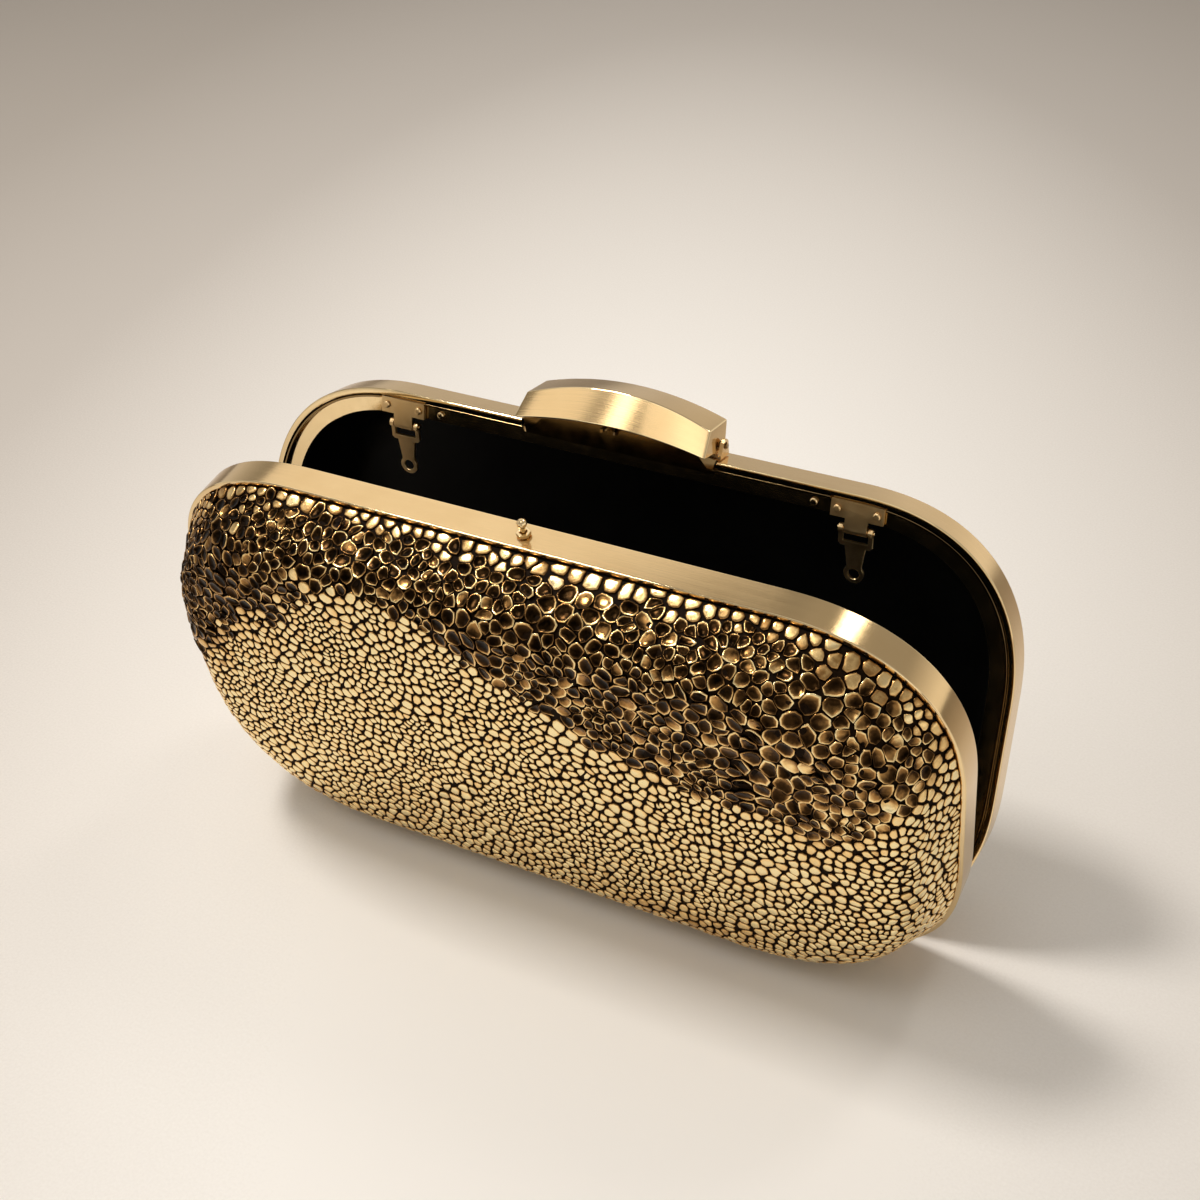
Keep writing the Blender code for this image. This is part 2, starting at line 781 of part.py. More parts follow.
def make_face_plate(band, flange):
    """Plate in a notch of the back band's lip, under the front of the bar."""
    holder = holders[BACK]
    front, back = band_lip + fit_gap / 2, band_lip + fit_gap / 2 + face_plate_thickness
    rings = [[(x, depth, z) for x, z in face_plate_outline()] for depth in (front, back)]
    loft("clasp_face_plate", rings, False, dark_gold, holder)
    reach = face_plate_length / 2 + fit_gap
    notch = block("clasp_lip_notch", (-reach, -cut_over, case_height - flange_outer + fit_gap / 2),
                  (reach, back + fit_gap, case_height + cut_over), None, holder, cutters)
    cut(band, notch)
    tongue_notch = block("clasp_tongue_notch",
                         (-reach, -cut_over, case_height - face_plate_drop - fit_gap),
                         (reach, back + fit_gap, case_height), None, holder, cutters)
    cut(flange, tongue_notch)


def make_ball_stud(band):
    """Turned stud with a round head on the front band's top, over a faceted collar."""
    holder = holders[FRONT]
    depth = FRONT * ball_depth
    neck = math.asin(stud_neck_radius / ball_radius)
    profile = []
    for step in range(ball_steps + 1):
        angle = (math.pi - neck) * step / ball_steps
        profile.append((ball_radius * math.sin(angle),
                        ball_height + ball_radius * math.cos(angle)))
    profile += [(stud_neck_radius, rivet_tip_clearance - band_wall),
                (0, rivet_tip_clearance - band_wall)]
    turned_body("ball_stud", profile, round_sides, Vector((0, depth, case_height)),
                Matrix.Identity(4), bright_gold, holder)
    hole = cylinder("ball_stud_hole", "Z", (0, depth, case_height), 2 * (band_wall + fit_gap),
                    stud_neck_radius + fit_gap, None, holder, cutters)
    cut(band, hole)
    collar = cylinder("stud_collar", "Z", (0, depth, case_height + fit_gap + collar_height / 2),
                      collar_height, collar_radius, bright_gold, holder, sides=collar_sides)
    collar_bore = cylinder("stud_collar_bore", "Z", (0, depth, case_height),
                           2 * (collar_height + fit_gap + cut_over), stud_neck_radius + fit_gap,
                           None, holder, cutters)
    cut(collar, collar_bore)


def spring_points():
    """Route of the torsion spring: a leg over the catch, its turns and a hook in the base."""
    axis_height = case_height + clasp_pin_height
    start_x = catch_stem_width / 2 - 2 * spring_wire_radius
    leg_end = -ball_depth + ball_radius + fit_gap + jaw_wall + catch_post_thickness + fit_gap
    points = [(start_x, leg_end + spring_wire_radius, axis_height + spring_coil_radius)]
    count = int((spring_turns + 0.5) * spring_points_per_turn)
    for step in range(count + 1):
        turned = step / spring_points_per_turn
        angle = 2 * math.pi * turned
        points.append((start_x + spring_pitch * turned,
                       clasp_pin_depth + spring_coil_radius * math.sin(angle),
                       axis_height + spring_coil_radius * math.cos(angle)))
    end_x = points[-1][0]
    points.append((end_x, spring_hook_depth, axis_height - spring_coil_radius))
    points.append((end_x, spring_hook_depth, case_height + fit_gap + base_thickness / 2))
    return points


def least_turn_gap(points):
    """Least free gap between the wire's turns."""
    least = math.inf
    apart = spring_points_per_turn // 2
    for index, (x, y, z) in enumerate(points[1:-2]):
        for other in points[1 + index + apart:-2]:
            least = min(least, math.dist((x, y, z), other))
    return least - 2 * spring_wire_radius


def make_spring(base):
    """Torsion spring on the pin, hooked into the base."""
    holder = holders[BACK]
    points = spring_points()
    curve = bpy.data.curves.new("clasp_spring_route", "CURVE")
    curve.dimensions = "3D"
    curve.bevel_depth = spring_wire_radius
    curve.bevel_resolution = 1
    curve.use_fill_caps = True
    spline = curve.splines.new("POLY")
    spline.points.add(len(points) - 1)
    for target, point in zip(spline.points, points):
        target.co = (*point, 1)
    route = bpy.data.objects.new("clasp_spring_route", curve)
    parts.objects.link(route)
    graph = bpy.context.evaluated_depsgraph_get()
    graph.update()
    mesh = bpy.data.meshes.new_from_object(route.evaluated_get(graph))
    bpy.data.objects.remove(route, do_unlink=True)
    work = bmesh.new()
    work.from_mesh(mesh)
    bpy.data.meshes.remove(mesh)
    bmesh.ops.remove_doubles(work, verts=work.verts, dist=0.1 * spring_wire_radius)
    add_object("clasp_spring", finish_mesh("clasp_spring", work), spring_steel, holder)
    end_x, hook_depth, _ = points[-1]
    hole = cylinder("clasp_spring_hook_hole", "Z", (end_x, hook_depth, case_height + fit_gap),
                    2 * (base_thickness + cut_over), spring_wire_radius + fit_gap, None, holder,
                    cutters, fastener_sides)
    cut(base, hole)
    print("least gap between the spring's turns (mm):", round(least_turn_gap(points) / MM, 3))


def make_bracket(hand, x):
    """Bent bracket on the flange whose lower tongue is rolled round the tab's pin."""
    holder = holders[BACK]
    top = bracket_top()
    low = top - bracket_height
    pin_height = tab_pin_height()
    plate = block(f"{hand}_tab_bracket", (x - bracket_width / 2, bracket_recess, low),
                  (x + bracket_width / 2, bracket_recess + bracket_thickness, top),
                  bright_gold, holder)
    web = block(f"{hand}_tab_bracket_web", (x - barrel_width / 2, bracket_recess, pin_height),
                (x + barrel_width / 2, bracket_recess + bracket_thickness,
                 low + bracket_thickness), None, holder, cutters)
    barrel = cylinder(f"{hand}_tab_bracket_barrel", "X", (x, barrel_depth, pin_height),
                      barrel_width, barrel_radius, None, holder, cutters)
    bore = cylinder(f"{hand}_tab_bracket_bore", "X", (x, barrel_depth, pin_height),
                    barrel_width + 2 * cut_over, tab_pin_radius + fit_gap, None, holder, cutters)
    join(plate, web, barrel)
    cut(plate, bore)
    return plate


def make_tab_pin(hand, x):
    arm_outer = barrel_width / 2 + fit_gap + tab_arm_width
    cylinder(f"{hand}_tab_pin", "X", (x, barrel_depth, tab_pin_height()),
             2 * (arm_outer + fit_gap), tab_pin_radius, bright_gold, holders[BACK])


def cut_bracket_seat(hand, x, flange):
    """Gap in the flange's tongue where the bracket sits."""
    reach = bracket_width / 2 + fit_gap
    seat = block(f"{hand}_bracket_seat",
                 (x - reach, -cut_over, bracket_top() - bracket_height - fit_gap),
                 (x + reach, bracket_recess + bracket_thickness + fit_gap, case_height), None,
                 holders[BACK], cutters)
    cut(flange, seat)


def fasten_bracket(hand, x, bracket, flange):
    """Two rivets through a bracket into the flange."""
    head_seat = bracket_recess - fit_gap
    reach = flange_recess + flange_plate - head_seat
    for word, sign in (("first", -1), ("second", 1)):
        place = Vector((x + sign * bracket_rivet_spacing / 2, head_seat,
                        bracket_top() - bracket_height / 2))
        rivet(f"{hand}_bracket_{word}_rivet", BACK, place, reach, (bracket, flange))


def make_tab_empty(hand, x):
    """Empty on the tab's pin axis, turned so that the tab hangs plumb."""
    empty = bpy.data.objects.new(f"{hand}_chain_tab_axis", None)
    parts.objects.link(empty)
    empty.parent = holders[BACK]
    empty.location = (x, barrel_depth, tab_pin_height())
    empty.rotation_euler = (tilt, 0, 0)
    return empty


def tab_outline(arm_outer):
    """Tab blank below its arms, as (x, z) points about the pin axis."""
    shoulder = -tab_yoke_drop - tab_yoke_height
    neck = -tab_eyelet_drop + tab_eyelet_radius
    right = [(arm_outer, 0), (arm_outer, shoulder + tab_yoke_height / 2),
             (arm_outer - tab_yoke_height / 2, shoulder), (tab_strap_width / 2, shoulder),
             (tab_neck_width / 2, neck)]
    start = math.acos(min(tab_neck_width / 2 / tab_eyelet_radius, 1))
    round_end = []
    for step in range(tab_round_steps + 1):
        angle = start - (math.pi + 2 * start) * step / tab_round_steps
        round_end.append((tab_eyelet_radius * math.cos(angle),
                          -tab_eyelet_drop + tab_eyelet_radius * math.sin(angle)))
    left = [(-x, z) for x, z in reversed(right)]
    return right + round_end + left


def make_tab(hand, x):
    """Chain tab: a yoke whose two eyes turn on the pin, a strap and an eyelet."""
    holder = make_tab_empty(hand, x)
    arm_inner = barrel_width / 2 + fit_gap
    arm_outer = arm_inner + tab_arm_width
    half = tab_thickness / 2
    rings = [[(px, y, pz) for px, pz in tab_outline(arm_outer)] for y in (-half, half)]
    tab = loft(f"{hand}_chain_tab", rings, False, bright_gold, holder)
    window = block(f"{hand}_chain_tab_window", (-arm_inner, -half - cut_over, -tab_yoke_drop),
                   (arm_inner, half + cut_over, cut_over), None, holder, cutters)
    hole = cylinder(f"{hand}_chain_tab_hole", "Y", (0, 0, -tab_eyelet_drop),
                    tab_thickness + 2 * cut_over, tab_eyelet_hole, None, holder, cutters)
    cut(tab, window, hole)
    for word, sign in (("inner", -1), ("outer", 1)):
        eye = cylinder(f"{hand}_chain_tab_{word}_eye", "X",
                       (sign * (arm_inner + arm_outer) / 2, 0, 0), tab_arm_width,
                       tab_eye_radius, None, holder, cutters)
        join(tab, eye)
    bore = cylinder(f"{hand}_chain_tab_bore", "X", (0, 0, 0), 2 * (arm_outer + cut_over),
                    tab_pin_radius + fit_gap / 2, None, holder, cutters)
    cut(tab, bore)


def make_half(side):
    """Frame, shell, cover and lining of one half."""
    word = side_words[side]
    band = make_band(side)
    flange = make_flange(side)
    shell = make_shell(side)
    fasten_flange(side, flange, shell)
    make_pan(word + "_cover", side, 0, cover_thickness, cover_rim,
             (cover_shoulder_shares, cover_face_shares), foil_leather)
    make_pan(word + "_lining", side, lining_offset, lining_thickness, lining_rim,
             (core_shoulder_shares, core_face_shares), black_satin)
    return band, flange


def build():
    front_band, _ = make_half(FRONT)
    back_band, back_flange = make_half(BACK)
    make_hinges()
    base = make_clasp_base()
    fasten_clasp_base(base, back_band)
    make_face_plate(back_band, back_flange)
    clasp_empty = make_clasp_empty()
    make_clasp_bar(clasp_empty)
    make_catch(clasp_empty)
    make_spring(base)
    make_ball_stud(front_band)
    for hand, x in (("left", -tab_x), ("right", tab_x)):
        bracket = make_bracket(hand, x)
        cut_bracket_seat(hand, x, back_flange)
        fasten_bracket(hand, x, bracket, back_flange)
        make_tab_pin(hand, x)
        make_tab(hand, x)


build()
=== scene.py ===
"""Evening clutch: its looks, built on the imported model's frame.

Each half is laid out closed and upright in case coordinates: X along the case, depth away from
the mating plane and height above the hinge axis. half_matrix() then tilts it into place.
"""

import math

import bmesh
import bpy
import numpy as np
from mathutils import Matrix, Vector
from mathutils.bvhtree import BVHTree
from mathutils.kdtree import KDTree


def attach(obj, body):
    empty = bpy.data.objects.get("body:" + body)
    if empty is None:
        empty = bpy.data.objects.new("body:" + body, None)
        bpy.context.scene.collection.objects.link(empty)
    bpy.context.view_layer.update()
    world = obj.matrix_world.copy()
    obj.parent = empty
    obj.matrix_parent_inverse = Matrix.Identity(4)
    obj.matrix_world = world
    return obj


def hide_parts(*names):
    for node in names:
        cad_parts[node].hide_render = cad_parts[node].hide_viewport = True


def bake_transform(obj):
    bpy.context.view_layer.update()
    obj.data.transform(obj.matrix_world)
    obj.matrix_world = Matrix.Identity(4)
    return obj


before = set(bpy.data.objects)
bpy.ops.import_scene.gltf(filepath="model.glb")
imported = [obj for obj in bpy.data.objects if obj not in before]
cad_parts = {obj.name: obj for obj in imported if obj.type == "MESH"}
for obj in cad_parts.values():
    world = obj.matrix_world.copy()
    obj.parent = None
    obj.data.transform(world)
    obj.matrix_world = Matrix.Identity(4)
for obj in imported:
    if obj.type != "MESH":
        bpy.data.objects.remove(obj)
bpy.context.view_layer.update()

MM = 0.001

# Case outline and depth, as the solids have them
case_width = 200.0 * MM
case_height = 107.5 * MM
corner_radius = 42.6 * MM
corner_power = 2.4
half_depth = 24.9 * MM
wall_draft = math.radians(21)
shoulder_radius = 10.0 * MM
face_crown = 1.0 * MM
shoulder_swell_share = 0.1
cover_setback = 1.0 * MM
tilt = math.radians(10.6)
hinge_height = 1.38883 * MM
fit_gap = 0.3 * MM
cut_over = 1.0 * MM

# Frame rings
band_lip = 0.15 * MM
band_depth = 7.9 * MM
band_wall = 1.6 * MM
band_edge = 0.35 * MM
flange_outer = 1.9 * MM
flange_recess = 1.6 * MM
flange_plate = 0.8 * MM
flange_reach = 6.2 * MM
flange_edge = 0.08 * MM
tongue_wall = 0.5 * MM
tongue_recess = 0.3 * MM

# Cover and lining
cover_thickness = 1.0 * MM
cover_rim = 8.2 * MM
skin_drop = 0.45 * MM
lining_offset = 3.1 * MM
lining_rim = 4.5 * MM
lining_thickness = 0.3 * MM

# Hinge seats, clasp notch and holes in the bands
hinge_x = 44.0 * MM
hinge_length = 26.0 * MM
knuckle_radius = 1.2 * MM
leaf_thickness = 0.7 * MM
leaf_depth = 6.4 * MM
face_plate_length = 50.4 * MM
face_plate_thickness = 0.7 * MM
face_plate_drop = 3.15 * MM
clasp_screw_x = 18.5 * MM
clasp_screw_depth = 2.6 * MM
clasp_screw_hole = 0.8 * MM
ball_depth = 4.0 * MM
ball_radius = 1.15 * MM
ball_height = 3.4 * MM
ball_hole = 0.9 * MM
ball_relief = 0.1 * MM
ball_way_length = 3 * MM
bracket_width = 12.4 * MM
bracket_low_drop = 5.9 * MM
bracket_notch_depth = 1.6 * MM
tab_x = 59.5 * MM

# Lift bar, its corners given by depth, height at the ends and arch in the middle
bar_length = 49.3 * MM
bar_end_slant = 0.9 * MM
bar_wall = 1.1 * MM
bar_bevel = 0.3 * MM
bar_foot = (-5.2 * MM, 2.2 * MM, 2.6 * MM)
bar_ridge = (-0.7 * MM, 7.3 * MM, 4.7 * MM)
bar_crest = (8.6 * MM, 7.6 * MM, 3.7 * MM)
bar_heel = (6.6 * MM, 1.2 * MM, 0.0)
bar_section_uv = (0, 9 * MM, 19 * MM, 27 * MM, 40 * MM)
clasp_pin_depth = 3.9 * MM
clasp_pin_height = 3.0 * MM
clasp_pin_radius = 0.6 * MM

# Torsion spring on the bar's pin
spring_wire_radius = 0.25 * MM
spring_coil_radius = 1.4 * MM
spring_pitch = 0.95 * MM
spring_turns = 4.5
spring_points_per_turn = 20
spring_leg_x = 1.1 * MM
spring_leg_end = -0.45 * MM
spring_hook_depth = 2.4 * MM
spring_hook_height = 0.7 * MM

corner_steps = 36
shoulder_steps = 14
bar_steps = 56

FRONT = -1
BACK = 1
WORDS = {FRONT: "front", BACK: "back"}


def even_corner_angles(steps):
    """Angles that place points evenly along a superellipse corner."""
    power = 2 / corner_power
    dense = np.linspace(0, math.pi / 2, 2001)
    x, z = np.cos(dense).clip(0) ** power, np.sin(dense) ** power
    length = np.concatenate([[0], np.cumsum(np.hypot(np.diff(x), np.diff(z)))])
    return np.interp(np.linspace(0, length[-1], steps + 1), length, dense)


corner_angles = even_corner_angles(corner_steps)


def outline(inset, radius):
    """Ring of (x, height) points, inset from the band's outside."""
    half_width = case_width / 2 - inset
    half_height = case_height / 2 - inset
    radius = min(radius, half_height)
    power = 2 / corner_power
    ring = []
    for quarter in range(4):
        sign_x = 1 if quarter in (0, 3) else -1
        sign_z = 1 if quarter in (0, 1) else -1
        for angle in corner_angles if quarter in (0, 2) else corner_angles[::-1]:
            across = radius * max(math.cos(angle), 0) ** power
            up = radius * math.sin(angle) ** power
            ring.append((sign_x * (half_width - radius + across),
                         case_height / 2 + sign_z * (half_height - radius + up)))
    return ring


def at_wall(inset, depth):
    """Point of a wall that runs straight back from the mouth."""
    return inset, corner_radius - inset, depth


def at_slope(offset, inset, depth):
    """Point past the wall's knee, where the corners swell a little."""
    wall_inset = cover_setback + offset
    swell = shoulder_swell_share * (inset - wall_inset)
    return inset, corner_radius - wall_inset + swell, depth


def at_draft(offset, depth):
    """Point of the drafted wall, offset under the cover's outside."""
    along = (depth - cover_rim + offset * math.sin(wall_draft)) / math.cos(wall_draft)
    inset = cover_setback + offset * math.cos(wall_draft) + along * math.sin(wall_draft)
    return at_slope(offset, inset, depth)


def at_shoulder(offset, share):
    """Point of the rounded shoulder between the drafted wall and the face."""
    middle_depth = half_depth - shoulder_radius
    foot_depth = middle_depth + shoulder_radius * math.sin(wall_draft)
    middle_inset = at_draft(0, foot_depth)[0] + shoulder_radius * math.cos(wall_draft)
    angle = wall_draft + share * (math.pi / 2 - wall_draft)
    radius = shoulder_radius - offset
    return at_slope(offset, middle_inset - radius * math.cos(angle),
                    middle_depth + radius * math.sin(angle))


def at_face(offset, share):
    """Point of the crowned face, a share of the way from the shoulder to its middle."""
    inset, radius, depth = at_shoulder(offset, 1)
    inset += share * (case_height / 2 - inset)
    return inset, radius, depth + face_crown * (1 - (1 - share) ** 2)


def pan_surface(offset, rim_depth, face_steps=8):
    """Profile of one surface of a pan, from its rim to the middle of its face."""
    knee_depth = cover_rim - offset * math.tan(wall_draft / 2)
    if rim_depth < knee_depth:
        wall_inset = cover_setback + offset
        profile = [at_wall(wall_inset, rim_depth), at_wall(wall_inset, knee_depth)]
    else:
        profile = [at_draft(offset, rim_depth)]
    profile += [at_shoulder(offset, step / shoulder_steps) for step in range(shoulder_steps + 1)]
    profile += [at_face(offset, step / face_steps) for step in range(1, face_steps + 1)]
    return profile


def half_matrix(side):
    """Tilts a closed, upright half to where it stands open."""
    return Matrix.Translation((0, 0, hinge_height)) @ Matrix.Rotation(-side * tilt, 4, "X")


def new_object(name, mesh, *materials):
    piece = bpy.data.objects.new(name, mesh)
    bpy.context.scene.collection.objects.link(piece)
    for material in materials:
        mesh.materials.append(material)
    return piece


def smooth(mesh, degrees):
    mesh.shade_smooth()
    mesh.set_sharp_from_angle(angle=math.radians(degrees))


def crisp(piece):
    """Lets flat faces keep their own shading beside rounded edges."""
    flats = piece.modifiers.new("flats", "WEIGHTED_NORMAL")
    flats.weight = 90
    flats.keep_sharp = True


def grid_mesh(name, rings, closed, caps=False):
    """Mesh through rings of equal count, with UVs in metres along and across them."""
    count = len(rings[0])
    points = np.array(rings, float)
    along = np.zeros(count + 1)
    around = np.linalg.norm(np.roll(points[0], -1, 0) - points[0], axis=1)
    along[1:] = np.cumsum(around)
    middle = points[:, count // 8]  # a place on the outline that every ring passes evenly
    across = np.concatenate([[0], np.cumsum(np.linalg.norm(np.roll(middle, -1, 0) - middle,
                                                           axis=1))])
    rows = len(rings)
    faces, uvs = [], []
    for row in range(rows if closed else rows - 1):
        lower, upper = row * count, (row + 1) % rows * count
        for step in range(count):
            following = (step + 1) % count
            faces.append((lower + step, lower + following, upper + following, upper + step))
            uvs += [(along[step], across[row]), (along[step + 1], across[row]),
                    (along[step + 1], across[row + 1]), (along[step], across[row + 1])]
    if caps:
        for start in (0, (rows - 1) * count):
            faces.append(tuple(range(start, start + count)))
            uvs += [(along[step], 0.0) for step in range(count)]
    mesh = bpy.data.meshes.new(name)
    mesh.from_pydata(points.reshape(-1, 3).tolist(), [], faces)
    layer = mesh.uv_layers.new(name="along")
    layer.data.foreach_set("uv", np.array(uvs, np.float32).ravel())
    return mesh


def outward(mesh):
    """Mesh without doubled points, its faces turned outward."""
    work = bmesh.new()
    work.from_mesh(mesh)
    bmesh.ops.remove_doubles(work, verts=work.verts, dist=0.001 * MM)
    bmesh.ops.dissolve_degenerate(work, edges=work.edges, dist=0.001 * MM)
    bmesh.ops.recalc_face_normals(work, faces=work.faces)
    work.to_mesh(mesh)
    work.free()
    return mesh


def wrap_mesh(name, side, profile, closed):
    """Profile points (inset, corner radius, depth) carried round the case outline."""
    rings = [[(x, side * depth, height) for x, height in outline(inset, radius)]
             for inset, radius, depth in profile]
    return outward(grid_mesh(name, rings, closed, caps=not closed))


def block(low, high):
    work = bmesh.new()
    bmesh.ops.create_cube(work, size=1)
    low, high = Vector(low), Vector(high)
    size = Vector([abs(length) for length in high - low])
    bmesh.ops.scale(work, vec=size, verts=work.verts)
    bmesh.ops.translate(work, vec=(low + high) / 2, verts=work.verts)
    mesh = bpy.data.meshes.new("cutter")
    work.to_mesh(mesh)
    work.free()
    return new_object("cutter", mesh)


def rod(axis, centre, length, radius, sides=32):
    work = bmesh.new()
    bmesh.ops.create_cone(work, cap_ends=True, segments=sides, radius1=radius, radius2=radius,
                          depth=length)
    if axis != "Z":
        turn = Matrix.Rotation(math.pi / 2, 3, "Y" if axis == "X" else "X")
        bmesh.ops.rotate(work, matrix=turn, verts=work.verts)
    bmesh.ops.translate(work, vec=Vector(centre), verts=work.verts)
    mesh = bpy.data.meshes.new("cutter")
    work.to_mesh(mesh)
    work.free()
    return new_object("cutter", mesh)


def apply_modifiers(piece):
    graph = bpy.context.evaluated_depsgraph_get()
    graph.update()
    mesh = bpy.data.meshes.new_from_object(piece.evaluated_get(graph),
                                           preserve_all_data_layers=True, depsgraph=graph)
    piece.modifiers.clear()
    old = piece.data
    piece.data = mesh
    bpy.data.meshes.remove(old)


def cut(piece, tools):
    """Cuts the tools out of a piece and removes them."""
    for tool in tools:
        modifier = piece.modifiers.new("cut", "BOOLEAN")
        modifier.operation = "DIFFERENCE"
        modifier.object = tool
        modifier.solver = "EXACT"
    apply_modifiers(piece)
    for tool in tools:
        mesh = tool.data
        bpy.data.objects.remove(tool, do_unlink=True)
        bpy.data.meshes.remove(mesh)


def settle(piece, side, body, slot, *nodes):
    """Tilts a piece into place, lets it ride on its body and stand for its CAD nodes."""
    piece.data.transform(half_matrix(side))
    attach(piece, body)
    if nodes:
        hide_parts(*nodes)
    return piece


# Materials

def start_material(name):
    material = bpy.data.materials.new(name)
    material.use_nodes = True
    tree = material.node_tree
    return material, tree, tree.nodes["Principled BSDF"]


def add_node(tree, kind, **inputs):
    """Node with its inputs set: a socket is linked, anything else is a value."""
    made = tree.nodes.new(kind)
    for name, value in inputs.items():
        target = made.inputs[int(name[1:])] if name[0] == "i" and name[1:].isdigit() \
            else made.inputs[name.replace("_", " ")]
        if isinstance(value, bpy.types.NodeSocket):
            tree.links.new(value, target)
        else:
            target.default_value = value
    return made


def noise(tree, vector, scale, detail=3.0, roughness=0.55):
    made = add_node(tree, "ShaderNodeTexNoise", Vector=vector, Scale=scale, Detail=detail,
                    Roughness=roughness)
    return made.outputs["Fac"]


def ramp(tree, factor, stops):
    """Colour ramp through (place, colour) stops."""
    made = add_node(tree, "ShaderNodeValToRGB", Fac=factor)
    elements = made.color_ramp.elements
    while len(elements) < len(stops):
        elements.new(0.5)
    for element, (place, colour) in zip(elements, stops):
        element.position = place
        element.color = (*colour, 1.0)
    return made.outputs["Color"]


def remap(tree, value, low, high, start=0.0, end=1.0):
    made = add_node(tree, "ShaderNodeMapRange", Value=value, From_Min=start, From_Max=end,
                    To_Min=low, To_Max=high)
    return made.outputs["Result"]


def place_coordinates(tree):
    return tree.nodes.new("ShaderNodeTexCoord").outputs["Object"]


def stretched(tree, vector, scale):
    made = add_node(tree, "ShaderNodeMapping", Vector=vector, Scale=scale)
    return made.outputs["Vector"]


def bump(tree, shader, height, strength, distance, under=None):
    made = add_node(tree, "ShaderNodeBump", Height=height, Strength=strength, Distance=distance)
    if under is not None:
        tree.links.new(under, made.inputs["Normal"])
    tree.links.new(made.outputs["Normal"], shader.inputs["Normal"])
    return made.outputs["Normal"]


def metal(name, light, deep, roughness, grain=None, grain_depth=0.0, dimple=0.0):
    """Plated metal: cloudy tone, handling marks and, where grain is set, brushed lines."""
    material, tree, shader = start_material(name)
    shader.inputs["Metallic"].default_value = 1.0
    spot = place_coordinates(tree)
    cloud = noise(tree, spot, 55.0, 4.0)
    tree.links.new(ramp(tree, cloud, [(0.3, deep), (0.7, light)]), shader.inputs["Base Color"])
    if grain:
        lines_spot = add_node(tree, "ShaderNodeUVMap")
        lines_spot.uv_map = "along"
        lines = noise(tree, stretched(tree, lines_spot.outputs["UV"], grain), 1.0, 2.0, 0.6)
        rough = add_node(tree, "ShaderNodeMath", i0=remap(tree, lines, *roughness, 0.3, 0.7),
                         i1=remap(tree, cloud, -0.03, 0.03))
        tree.links.new(rough.outputs[0], shader.inputs["Roughness"])
        bump(tree, shader, lines, 0.6, grain_depth)
        along = tree.nodes.new("ShaderNodeTangent")
        along.direction_type = "UV_MAP"
        along.uv_map = "along"
        tree.links.new(along.outputs["Tangent"], shader.inputs["Tangent"])
        shader.inputs["Anisotropic"].default_value = 0.65
        shader.inputs["Anisotropic Rotation"].default_value = 0.25
    else:
        marks = noise(tree, spot, 420.0, 5.0, 0.65)
        tree.links.new(remap(tree, marks, *roughness, 0.35, 0.75), shader.inputs["Roughness"])
        bump(tree, shader, marks, 0.25, dimple)
    return material


satin_light, satin_deep = (0.82, 0.59, 0.31), (0.77, 0.54, 0.27)
band_satin = metal("band_satin", satin_light, satin_deep, (0.12, 0.20), (9.0, 3000.0, 1.0),
                   0.012 * MM)
bar_satin = metal("bar_satin", satin_light, satin_deep, (0.10, 0.17), (18.0, 3000.0, 1.0),
                  0.012 * MM)
bright_gold = metal("bright_gold", (0.95, 0.74, 0.43), (0.90, 0.67, 0.36), (0.10, 0.18),
                    dimple=0.01 * MM)
edge_gold = metal("edge_gold", (0.92, 0.72, 0.42), (0.88, 0.66, 0.36), (0.06, 0.12),
                  dimple=0.005 * MM)
# Near-black gold; on the flange's tongue it is painted shade
dark_gold = metal("dark_gold", (0.30, 0.20, 0.09), (0.22, 0.14, 0.06), (0.10, 0.18),
                  dimple=0.01 * MM)
spring_steel = metal("spring_steel", (0.22, 0.20, 0.17), (0.15, 0.14, 0.12), (0.26, 0.38),
                     dimple=0.01 * MM)
plain_satin = metal("plain_satin", satin_light, satin_deep, (0.22, 0.34), dimple=0.02 * MM)
# A lighter, rougher copy of the satin gold: its lighter colour is painted light, so the tabs and
# brackets read as lit
pale_satin = metal("pale_satin", (0.98, 0.72, 0.38), (0.93, 0.65, 0.32), (0.28, 0.40),
                   dimple=0.02 * MM)


def make_foil():
    """Gold foil on the raised pebbles, its tone carrying painted shade and painted highlight: dark
    in the hollows, bronze on slopes, pale on tops.
    """
    material, tree, shader = start_material("foil_leather")
    spot = place_coordinates(tree)
    tone = add_node(tree, "ShaderNodeAttribute")
    tone.attribute_name = "tone"
    crinkle = noise(tree, spot, 1100.0, 3.0, 0.6)
    worn = noise(tree, spot, 300.0, 2.0)
    mixed = add_node(tree, "ShaderNodeMath", i0=tone.outputs["Fac"],
                     i1=remap(tree, crinkle, -0.11, 0.11))
    mixed = add_node(tree, "ShaderNodeMath", i0=mixed.outputs[0],
                     i1=remap(tree, worn, -0.08, 0.08, 0.3, 0.7))
    colour = ramp(tree, mixed.outputs[0],
                  [(0.0, (0.006, 0.003, 0.001)), (0.2, (0.05, 0.024, 0.008)),
                   (0.45, (0.42, 0.22, 0.07)), (0.7, (0.97, 0.67, 0.29)),
                   (0.92, (1.0, 0.835, 0.47))])
    tree.links.new(colour, shader.inputs["Base Color"])
    shader.inputs["Metallic"].default_value = 1.0
    tree.links.new(remap(tree, crinkle, 0.14, 0.28, 0.3, 0.7), shader.inputs["Roughness"])
    bump(tree, shader, crinkle, 0.7, 0.04 * MM)
    return material


def make_skin():
    """Dark leather in the gaps between the pebbles."""
    material, tree, shader = start_material("leather_gaps")
    spot = place_coordinates(tree)
    grain = noise(tree, spot, 1400.0, 4.0, 0.6)
    tree.links.new(ramp(tree, grain, [(0.3, (0.005, 0.0025, 0.001)), (0.7, (0.018, 0.009, 0.004))]),
                   shader.inputs["Base Color"])
    shader.inputs["Specular IOR Level"].default_value = 0.03
    tree.links.new(remap(tree, grain, 0.45, 0.65), shader.inputs["Roughness"])
    bump(tree, shader, grain, 0.4, 0.05 * MM)
    return material


